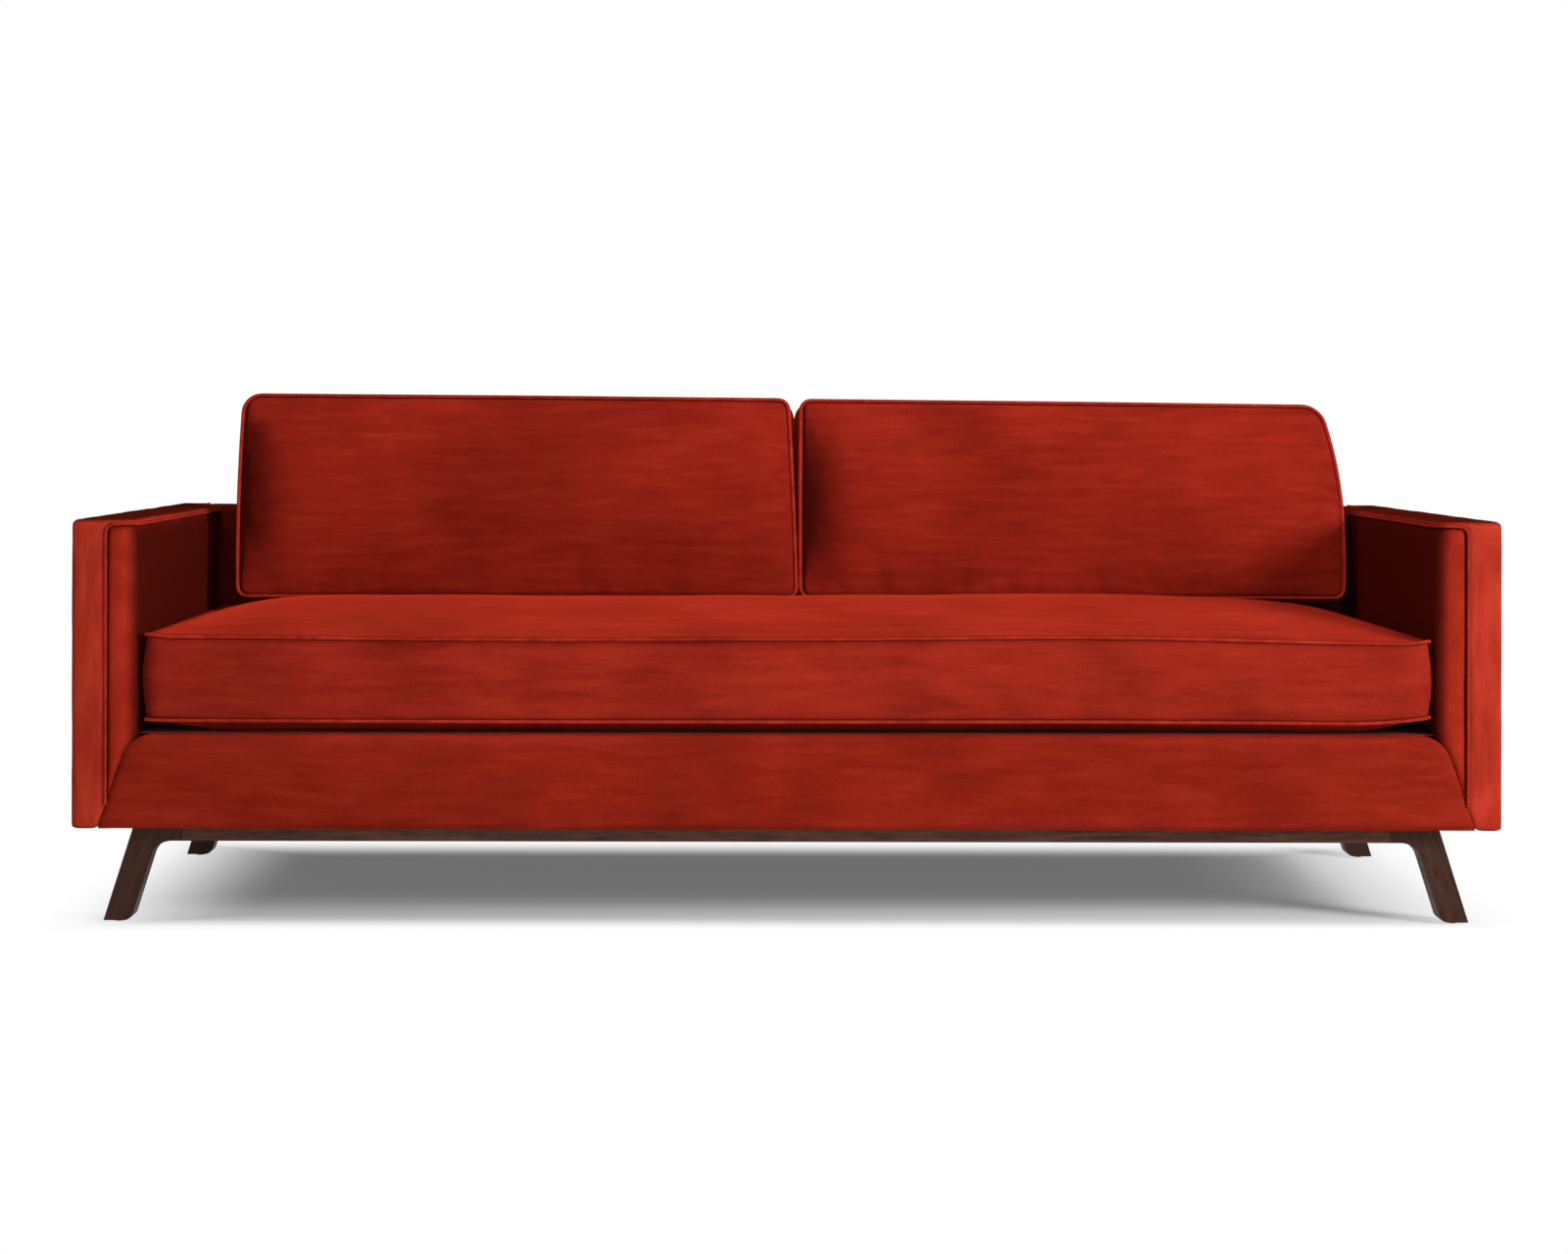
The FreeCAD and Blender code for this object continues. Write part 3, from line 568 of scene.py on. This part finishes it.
# The deck under the seat cushion: a felt insulator and a bonded cotton pad on the springs, under a
# plain woven lining that is stapled to the rails.
def woven_lining():
    # Cotton lining: a plain weave of 0.5 mm yarns, drawn 2 mm apart, in a red near the velvet's.
    finish, tree, shader = new_finish("woven_cotton_lining")
    place = add_node(tree, "TexCoord")
    warp, weft = [
        add_node(
            tree, "TexWave",
            {"bands_direction": way, "Scale": 160.0, "Distortion": 0.6, "Detail Scale": 3.0},
            {"Vector": (place, "Object")},
        )
        for way in "XY"
    ]
    weave = add_node(
        tree, "Math", {"operation": "MAXIMUM"}, {0: (warp, "Fac"), 1: (weft, "Fac")}
    )
    tone = colour_steps(tree, {"Fac": (weave, "Value")}, [(0.2, "#571711"), (0.9, "#7C241B")])
    bump = add_node(
        tree, "Bump", {"Strength": 0.4, "Distance": 0.0004}, {"Height": (weave, "Value")}
    )
    wired(tree, shader, tone, 0.85, bump)
    return finish


def pale_foam():
    # Polyurethane foam: cream, open cells of about 1 mm, drawn 2 mm wide.
    finish, tree, shader = new_finish("open_cell_foam")
    place = add_node(tree, "TexCoord")
    cells = add_node(tree, "TexVoronoi", {"Scale": 500.0}, {"Vector": (place, "Object")})
    tone = colour_steps(tree, {"Fac": (cells, "Distance")}, [(0.1, "#D8CDB0"), (0.6, "#EFE7CF")])
    bump = add_node(
        tree, "Bump", {"Strength": 0.5, "Distance": 0.0005}, {"Height": (cells, "Distance")}
    )
    wired(tree, shader, tone, 0.9, bump)
    return finish


def needled_felt():
    # Needled felt: grey and brown waste fibres, matted, in flecks of a few millimetres.
    finish, tree, shader = new_finish("needled_felt")
    place = add_node(tree, "TexCoord")
    fibres = add_node(
        tree, "TexNoise", {"Scale": 260.0, "Detail": 5.0, "Distortion": 1.2},
        {"Vector": (place, "Object")},
    )
    tone = colour_steps(
        tree, {"Fac": (fibres, "Fac")}, [(0.3, "#55504B"), (0.5, "#7B746B"), (0.72, "#A19A8E")]
    )
    wired(tree, shader, tone, 0.95)
    return finish


def spunbond_cloth():
    # Dust-cover cloth: black spunbonded fibre with a dimple every 2 mm.
    finish, tree, shader = new_finish("spunbonded_dust_cloth")
    place = add_node(tree, "TexCoord")
    dimples = add_node(tree, "TexVoronoi", {"Scale": 500.0}, {"Vector": (place, "Object")})
    tone = colour_steps(tree, {"Fac": (dimples, "Distance")}, [(0.1, "#161616"), (0.6, "#2A2A2A")])
    wired(tree, shader, tone, 0.9)
    return finish


def soft_block(name, node, voxel, rounds, finish, body, inset=0.0):
    """A hidden soft piece in its CAD solid's place, a little inside it, with its edges rounded."""
    block = upholstered(name, node, voxel, rounds, draw_in=inset)
    return painted(block, finish, body)


foam = pale_foam()
soft_block("deck_cotton_pad", "deck_pad", 0.012, 2, foam, "sofa_frame")
soft_block("front_rail_foam_strip", "front_rail_foam", 0.008, 2, foam, "sofa_frame")


def laid_layer(name, node, steps, thick):
    """A flat layer of that thickness on a grid, level with the top of its CAD solid."""
    low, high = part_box(node)
    bm = bmesh.new()
    bmesh.ops.create_grid(bm, x_segments=steps[0], y_segments=steps[1], size=1.0)
    for vert in bm.verts:
        u, v = vert.co.x, vert.co.y
        vert.co = Vector((
            low.x + (high.x - low.x) * (u + 1) / 2,
            low.y + (high.y - low.y) * (v + 1) / 2,
            high.z - thick - noise.noise(Vector((u * 9, v * 4, 2.0))) * 0.0007,
        ))
    bmesh.ops.solidify(bm, geom=bm.faces[:], thickness=-thick)
    bmesh.ops.recalc_face_normals(bm, faces=bm.faces)
    layer = made(name, bm)
    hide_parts(node)
    return layer


low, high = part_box("insulator_felt")
felt = laid_layer(
    "spring_insulator_felt", "insulator_felt", (120, 44), high.z - low.z - 0.0012
)
painted(felt, needled_felt(), "sofa_frame")


def cloth_sheet(name, node, steps, thick, finish):
    """A stapled cloth over its CAD solid's width and depth."""
    cloth = laid_layer(name, node, steps, thick)
    return painted(cloth, finish, "sofa_frame")


cloth_sheet(
    "deck_lining", "deck_cloth", (120, 44), 0.001, woven_lining()
)
cloth_sheet(
    "underside_dust_cloth", "dust_cover", (120, 50), 0.0008, spunbond_cloth(),
)


# The back webbing: five rows of polypropylene strap, 60 mm wide and 1.5 mm thick, stapled taut
# across the back frame's uprights, on their lean.
def strap_webbing():
    # Flat woven strap: black with a pale herringbone rib every 5 mm.
    finish, tree, shader = new_finish("woven_strap_webbing")
    place = add_node(tree, "TexCoord")
    ribs = add_node(
        tree, "TexWave", {"bands_direction": "Z", "Scale": 63.0}, {"Vector": (place, "Object")}
    )
    tone = colour_steps(tree, {"Fac": (ribs, "Fac")}, [(0.3, "#1E1D1C"), (0.8, "#4C4843")])
    bump = add_node(tree, "Bump", {"Strength": 0.4, "Distance": 0.0006}, {"Height": (ribs, "Fac")})
    wired(tree, shader, tone, 0.8, bump)
    return finish


strap_thickness = 0.0015
rows = bmesh.new()
rows.from_mesh(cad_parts["back_webbing"].data)
low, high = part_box("back_webbing")
levels = sorted({round(vert.co.z, 4) for vert in rows.verts})


def middle_depth(level):
    depths = [vert.co.y for vert in rows.verts if abs(vert.co.z - level) < 1e-4]
    return (min(depths) + max(depths)) / 2


bm = bmesh.new()
for foot, head in zip(levels[::2], levels[1::2]):
    foot_y, head_y = middle_depth(foot), middle_depth(head)
    grid = bmesh.ops.create_grid(bm, x_segments=90, y_segments=6, size=1.0)
    for vert in grid["verts"]:
        u, rise = vert.co.x, (vert.co.y + 1) / 2
        slack = noise.noise(Vector((u * 7, rise, foot * 20))) * 0.0003 * (1 - u ** 6)
        vert.co = Vector((
            low.x + (high.x - low.x) * (u + 1) / 2,
            foot_y + (head_y - foot_y) * rise + slack,
            foot + (head - foot) * rise,
        ))
rows.free()
bmesh.ops.solidify(bm, geom=bm.faces[:], thickness=strap_thickness)
bmesh.ops.recalc_face_normals(bm, faces=bm.faces)
straps = made("back_webbing_straps", bm)
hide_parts("back_webbing")
painted(straps, strap_webbing(), "sofa_frame")


# The seat cushion: one bench cushion of foam in a feather wrap, in a boxed velvet cover with a
# self welt round the top and the bottom panel. It is overfilled, so both panels crown.
panel_edge = 1 - 1e-6


def cushion_grid(name, steps, place):
    """A boxed cushion: a cube that is cut to steps and placed; gives its seats on the cube too."""
    bm = bmesh.new()
    bmesh.ops.create_cube(bm, size=2.0)
    for axis, cuts in enumerate(steps):
        along = [e for e in bm.edges if abs((e.verts[0].co - e.verts[1].co)[axis]) > 1e-6]
        bmesh.ops.subdivide_edges(bm, edges=along, cuts=cuts - 1, use_grid_fill=True)
    cube = [vert.co.copy() for vert in bm.verts]
    for vert in bm.verts:
        vert.co = place(*vert.co)
    bmesh.ops.recalc_face_normals(bm, faces=bm.faces)
    return made(name, bm), cube


def corner_rounded(u, v, across, along):
    """A place on the cushion's outline with its corners rounded; across and along are the share of
    each half side that the rounding takes."""
    over_u = (abs(u) - 1 + across) / across
    over_v = (abs(v) - 1 + along) / along
    if over_u <= 0 or over_v <= 0:
        return u, v
    new_u = over_u * math.sqrt(1 - over_v ** 2 / 2)
    new_v = over_v * math.sqrt(1 - over_u ** 2 / 2)
    return (
        math.copysign(1 - across + across * new_u, u),
        math.copysign(1 - along + along * new_v, v),
    )


def inflate(piece, held, pressure, cap, slack):
    """Fills a cushion by cloth simulation, with its seams held and no point moved past the cap."""
    frames = 20
    group = piece.vertex_groups.new(name="seams")
    group.add(held, 1.0, "REPLACE")
    start = [vert.co.copy() for vert in piece.data.vertices]
    cloth = piece.modifiers.new("filling", "CLOTH")
    cloth.settings.quality = 4
    cloth.settings.mass = 0.4
    cloth.settings.tension_stiffness = 25
    cloth.settings.compression_stiffness = 25
    cloth.settings.shear_stiffness = 12
    cloth.settings.bending_stiffness = 0.8
    cloth.settings.air_damping = 4
    cloth.settings.use_pressure = True
    cloth.settings.uniform_pressure_force = pressure
    cloth.settings.shrink_min = -slack
    cloth.settings.vertex_group_mass = "seams"
    cloth.settings.effector_weights.gravity = 0
    cloth.collision_settings.use_collision = False
    scene = bpy.context.scene
    for step in range(1, frames + 1):
        scene.frame_set(step)
    seen = piece.evaluated_get(bpy.context.evaluated_depsgraph_get())
    filled = [vert.co.copy() for vert in seen.data.vertices]
    piece.modifiers.clear()
    scene.frame_set(1)
    piece.vertex_groups.clear()
    for vert, before, after in zip(piece.data.vertices, start, filled):
        move = after - before
        if move.length > cap:
            move *= cap / move.length
        vert.co = before + move
    bm = bmesh.new()
    bm.from_mesh(piece.data)
    seams = set(held)
    panels = [vert for vert in bm.verts if vert.index not in seams]
    for _ in range(6):
        bmesh.ops.smooth_vert(
            bm, verts=panels, factor=0.5, use_axis_x=True, use_axis_y=True, use_axis_z=True
        )
    bm.to_mesh(piece.data)
    bm.free()


def seam_ring(cube, side):
    """The numbers of the vertices round one panel's edge, in order."""
    ring = []
    for index, spot in enumerate(cube):
        u, v, w = spot
        if abs(w - side) < 1e-5 and (abs(abs(u) - 1) < 1e-5 or abs(abs(v) - 1) < 1e-5):
            if abs(v + 1) < 1e-5:
                turn = u
            elif abs(u - 1) < 1e-5:
                turn = 2 + v
            elif abs(v - 1) < 1e-5:
                turn = 4 - u
            else:
                turn = 6 - v
            ring.append((turn % 8, index))
    return [index for _, index in sorted(ring)]


def puckered(piece, cube, half_sides, depth):
    """Small gathers beside the welts, where the seam draws the cloth in."""
    normals = [vert.normal.copy() for vert in piece.data.vertices]
    for vert, normal, spot in zip(piece.data.vertices, normals, cube):
        gaps = sorted((1 - abs(part)) * half for part, half in zip(spot, half_sides))
        reach = math.hypot(gaps[0], gaps[1])
        if reach < 1e-6:
            continue
        fade = math.exp(-reach / 0.022) * min(1.0, reach / 0.006)
        wave = noise.noise(Vector((vert.co.x * 42, vert.co.y * 42, vert.co.z * 30)))
        broad = noise.noise(Vector((vert.co.x * 6, vert.co.y * 6, vert.co.z * 6 + 7)))
        vert.co += normal * (wave * depth * fade + broad * 0.0012)


def welted(piece, ring, width, centre):
    """A welt along a ring of the cushion's vertices, set a little outside them."""
    spots = []
    for index in ring:
        spot = piece.data.vertices[index].co
        away = (spot - centre).normalized()
        spots.append(spot + away * 0.0008)
    return welt(spots, width, closed=True)


def subdivided(piece):
    smooth = piece.modifiers.new("smooth", "SUBSURF")
    smooth.levels = 1
    smooth.render_levels = 1
    return finished(piece)


def through(knots, place):
    """A smooth value at a place on a line of (place, value) knots."""
    for (a, low_value), (b, high_value) in zip(knots, knots[1:]):
        if place <= b:
            part = (place - a) / (b - a)
            return low_value + (high_value - low_value) * part * part * (3 - 2 * part)
    return knots[-1][1]


seat_low = Vector((-1.004, -0.4475, 0.3203))
seat_high = Vector((1.007, 0.2540, 0.4503))
seat_crown = 0.031
seat_belly = 0.018
seat_end_belly = 0.008
seat_front_belly = 0.003
seat_welt_line = [(-1, 0.0015), (-0.4, -0.0024), (0.0, -0.001), (0.45, 0.0026), (1, -0.0065)]
cushion_welt = 0.0068
filling_pressure = 3.0
filling_cap = 0.022
cover_slack = 0.004
pucker_depth = 0.0022


def seat_place(u, v, w):
    x, y = corner_rounded(u, v, 0.012, 0.035)
    z = seat_low.z + (seat_high.z - seat_low.z) * (w + 1) / 2
    if w > panel_edge:
        z += seat_crown * (1 - abs(u) ** 14) * (1 - v * v)
    elif w < -panel_edge:
        z -= seat_belly * (1 - abs(u) ** 22) * (1 - abs(v) ** 16)
    spot = Vector((
        (seat_low.x + seat_high.x) / 2 + x * (seat_high.x - seat_low.x) / 2,
        (seat_low.y + seat_high.y) / 2 + y * (seat_high.y - seat_low.y) / 2,
        z,
    ))
    belly = 1 - w * w
    if abs(u) > panel_edge:
        spot.x += math.copysign(seat_end_belly * belly, u)
    if abs(v) > panel_edge:
        spot.y += math.copysign(seat_front_belly * belly, v)
    lift = through(seat_welt_line, u)
    ear = 0.004 * max(0.0, abs(u) - 0.96) / 0.04 * max(0.0, abs(v) - 0.9) / 0.1
    turned_up = 0.009 * max(0.0, (u - 0.88) / 0.12) ** 1.6 if w < 0 else 0
    spot.z += (lift + ear) * (1 if w > 0 else 0.25) + turned_up * -w
    return spot


seat, seat_cube = cushion_grid("seat_cushion_velvet", (150, 54, 10), seat_place)
top_ring = seam_ring(seat_cube, 1)
bottom_ring = seam_ring(seat_cube, -1)
inflate(seat, top_ring + bottom_ring, filling_pressure, filling_cap, cover_slack)
puckered(seat, seat_cube, (1.0, 0.35, 0.065), pucker_depth)
seat_centre = (seat_low + seat_high) / 2
seat_welts = [welted(seat, ring, cushion_welt, seat_centre) for ring in (top_ring, bottom_ring)]
subdivided(seat)
for piping in seat_welts:
    joined(seat, piping)
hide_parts("seat_cushion_cover")
# Painted shade: faces pointing left or down are mixed towards dark red, as if the light came from
# the right and above, and the reds are darker than the arms' to look less lit.
seat_velvet_painted_shade = piled_velvet(
    "piled_velvet_seat_painted_shade", (9.0, 50.0, 60.0), ("#852015", "#96271A", "#A22E1E"),
    (-1.0, 0, -0.5), sheen=0.4, one_way=True, soft=(0.1, 1.5)
)
painted(seat, seat_velvet_painted_shade, "seat_cushion")
soft_block(
    "seat_cushion_foam", "seat_cushion_core", 0.015, 2, foam, "seat_cushion",
    inset=0.01,
)


# The back cushions: two loose boxed cushions of feather and foam, leaning on the inside back and
# standing on the seat cushion. Their ends taper, as the filling drops to the foot.
lean = math.radians(12.5)
# Painted shade: faces pointing left, and those pointing down, are mixed towards dark red, as if the
# light came from the right, and the reds are darker than the arms' to look less lit.
back_velvet_painted_shade = piled_velvet(
    "piled_velvet_back_painted_shade", (10.0, 60.0, 70.0), ("#7E1C11", "#8A2115", "#96281A"),
    (-1.0, 0, -0.25), sheen=0.4, one_way=True, soft=(0.0, 0.27)
)
front_foot = Vector((0, 0.1026, 0.4830))
foot_depth = 0.1600
top_depth = 0.1535
foot_round = (0.032, 0.085)
inner_round = (0.034, 0.095)
outer_round = (0.062, 0.17)
back_boxing_belly = 0.006
front_crown = 0.021
rear_crown = 0.015


def make_back_cushion(side, ends, swell, shoulder, heights, body):
    """ends are the left foot and top and the right top and foot; the left and the right end swell
    by so much half way up, and draw in by shoulder only near the top. heights are the left's and
    the right's."""
    left_foot, left_top, right_top, right_foot = ends
    height = sum(heights) / 2
    front_top = front_foot + Vector((0, height * math.tan(lean), height))
    rear_foot = Vector((0, front_foot.y + foot_depth, front_foot.z - 0.0136))
    rear_top = Vector((0, front_top.y + top_depth, front_top.z - 0.018))
    forward = Vector((0, -math.cos(lean), math.sin(lean)))

    def place(u, v, w):
        inner = (u > 0) == (side == "left")
        top_round = inner_round if inner else outer_round
        x, y = corner_rounded(u, v, *(foot_round if v < 0 else top_round))
        rise = (y + 1) / 2
        middle = 4 * rise * (1 - rise)
        left = left_foot + (left_top - left_foot) * rise - swell[0] * middle
        left += shoulder[0] * rise ** 3
        right = right_foot + (right_top - right_foot) * rise + swell[1] * middle
        right -= shoulder[1] * rise ** 3
        front = front_foot.lerp(front_top, rise)
        rear = rear_foot.lerp(rear_top, rise)
        spot = rear.lerp(front, (w + 1) / 2)
        spot.x = (left + right) / 2 + x * (right - left) / 2
        spot.z += (heights[1] - heights[0]) * x / 2 * rise
        full = (1 - abs(u) ** 9) * (1 - v * v) ** 0.9
        if w > panel_edge:
            spot += forward * front_crown * full
        elif w < -panel_edge:
            spot -= forward * rear_crown * full
        belly = 1 - w * w
        if abs(u) > panel_edge:
            spot.x += math.copysign((0.004 + (0.008 * rise if inner else 0)) * belly, u)
        if abs(v) > panel_edge:
            spot.z += math.copysign(back_boxing_belly * belly, v)
        return spot

    cushion, cube = cushion_grid(side + "_back_cushion_velvet", (90, 34, 14), place)
    front_ring = seam_ring(cube, 1)
    rear_ring = seam_ring(cube, -1)
    inflate(cushion, front_ring + rear_ring, filling_pressure, filling_cap, cover_slack)
    puckered(cushion, cube, (0.48, 0.18, 0.08), pucker_depth)
    centre = (front_foot + front_top + rear_foot + rear_top) / 4
    centre.x = (left_foot + right_foot) / 2
    piping = [welted(cushion, ring, cushion_welt, centre) for ring in (front_ring, rear_ring)]
    subdivided(cushion)
    for cord in piping:
        joined(cushion, cord)
    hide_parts(side + "_back_cushion_cover")
    painted(cushion, back_velvet_painted_shade, body)
    soft_block(
        side + "_back_cushion_filling", side + "_back_cushion_core", 0.012, 2, foam, body,
        inset=0.006,
    )


make_back_cushion(
    "left", (-0.951, -0.952, 0.012, 0.026), swell=(0.004, 0.001), shoulder=(0, 0),
    heights=(0.352, 0.345), body="left_back_cushion",
)
make_back_cushion(
    "right", (0.034, 0.036, 0.984, 0.984), swell=(0.001, 0.006), shoulder=(0, 0.031),
    heights=(0.344, 0.335), body="right_back_cushion",
)


# The zips: a nylon coil on a woven tape, closed, let into the seat cushion's rear boxing and the
# back cushions' foot, where a hand never meets them.
def zip_coil():
    # Nylon coil: dark red, in turns 1.2 mm apart, drawn 2.4 mm apart.
    finish, tree, shader = new_finish("nylon_zip_coil")
    place = add_node(tree, "TexCoord")
    turns = add_node(
        tree, "TexWave", {"bands_direction": "X", "Scale": 130.0}, {"Vector": (place, "Object")}
    )
    tone = colour_steps(tree, {"Fac": (turns, "Fac")}, [(0.3, "#2E0905"), (0.7, "#5A140C")])
    bump = add_node(
        tree, "Bump", {"Strength": 0.6, "Distance": 0.0006}, {"Height": (turns, "Fac")}
    )
    wired(tree, shader, tone, 0.45, bump)
    return finish


dress(["seat_cushion_zip", "left_back_cushion_zip", "right_back_cushion_zip"], zip_coil())


# The studio: a seamless pale floor that keeps the sofa's shadow and turns white beyond it, a white
# surround, a soft key lamp from the upper right, a broad one overhead and a weak one in front.
def seen_rays(tree):
    """1 for the rays that see the surround: those of the camera, of gloss and of glass."""
    path = add_node(tree, "LightPath")
    share = (path, "Is Camera Ray")
    for kind in ("Is Glossy Ray", "Is Transmission Ray"):
        either = add_node(tree, "Math", {"operation": "MAXIMUM"}, {0: share, 1: (path, kind)})
        share = (either, "Value")
    return share


floor_data = bpy.data.meshes.new("studio_floor")
bm = bmesh.new()
bmesh.ops.create_grid(bm, x_segments=1, y_segments=1, size=14.0)
bm.to_mesh(floor_data)
bm.free()
floor = bpy.data.objects.new("studio_floor", floor_data)
bpy.context.scene.collection.objects.link(floor)
floor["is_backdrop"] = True
paper = bpy.data.materials.new("pale_paper_floor")
paper.use_nodes = True
tree = paper.node_tree
tree.nodes.clear()
place = add_node(tree, "TexCoord")
spot = add_node(tree, "SeparateXYZ", {}, {"Vector": (place, "Object")})
centred = add_node(tree, "Math", {"operation": "ADD", 1: 0.02}, {0: (spot, "Y")})
fades = []
for node, output, start, end in ((spot, "X", 0.84, 1.20), (centred, "Value", 0.30, 0.52)):
    reach = add_node(tree, "Math", {"operation": "ABSOLUTE"}, {0: (node, output)})
    fades.append(add_node(
        tree, "MapRange",
        {"interpolation_type": "SMOOTHSTEP", "From Min": start, "From Max": end},
        {"Value": (reach, "Value")},
    ))
far = add_node(
    tree, "Math", {"operation": "MAXIMUM"}, {0: (fades[0], "Result"), 1: (fades[1], "Result")}
)
seen = seen_rays(tree)
share = add_node(tree, "Math", {"operation": "MULTIPLY"}, {0: (far, "Value"), 1: seen})
matt = add_node(tree, "BsdfDiffuse", {"Color": (0.86, 0.86, 0.86, 1)})
lift = add_node(tree, "Math", {"operation": "MULTIPLY", 1: 0.13}, {0: seen})
glow = add_node(tree, "Emission", {"Color": (1, 1, 1, 1)}, {"Strength": (lift, "Value")})
shaded = add_node(tree, "AddShader", {}, {0: (matt, "BSDF"), 1: (glow, "Emission")})
white = add_node(tree, "Emission", {"Color": (1, 1, 1, 1), "Strength": 1.0})
mixed = add_node(
    tree, "MixShader", {}, {0: (share, "Value"), 1: (shaded, "Shader"), 2: (white, "Emission")}
)
add_node(tree, "OutputMaterial", {}, {"Surface": (mixed, "Shader")})
floor_data.materials.append(paper)

world = bpy.data.worlds.new("white_surround")
bpy.context.scene.world = world
world.use_nodes = True
tree = world.node_tree
tree.nodes.clear()
soft = add_node(tree, "Background", {"Color": (1, 1, 1, 1), "Strength": 0.14})
bright = add_node(tree, "Background", {"Color": (1, 1, 1, 1), "Strength": 1.0})
mixed = add_node(
    tree, "MixShader", {}, {0: seen_rays(tree), 1: (soft, "Background"), 2: (bright, "Background")}
)
add_node(tree, "OutputWorld", {}, {"Surface": (mixed, "Shader")})


def lamp(name, spot, aim, size, watts):
    """A square soft lamp that faces its aim."""
    light = bpy.data.lights.new(name, "AREA")
    light.shape = "RECTANGLE"
    light.size, light.size_y = size
    light.energy = watts
    holder = bpy.data.objects.new(name, light)
    holder.location = spot
    holder.rotation_euler = (Vector(spot) - Vector(aim)).to_track_quat("Z", "Y").to_euler()
    bpy.context.scene.collection.objects.link(holder)


lamp("key_lamp", (4.2, -3.4, 2.2), (0.1, 0.0, 0.4), (1.6, 1.6), 244)
lamp("top_lamp", (0.0, -0.9, 3.4), (0.0, 0.0, 0.3), (4.0, 1.6), 85)
lamp("fill_lamp", (-0.6, -5.6, 0.9), (0.0, 0.0, 0.4), (2.6, 1.2), 45)

bpy.context.scene.view_settings.view_transform = "Standard"

low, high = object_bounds()
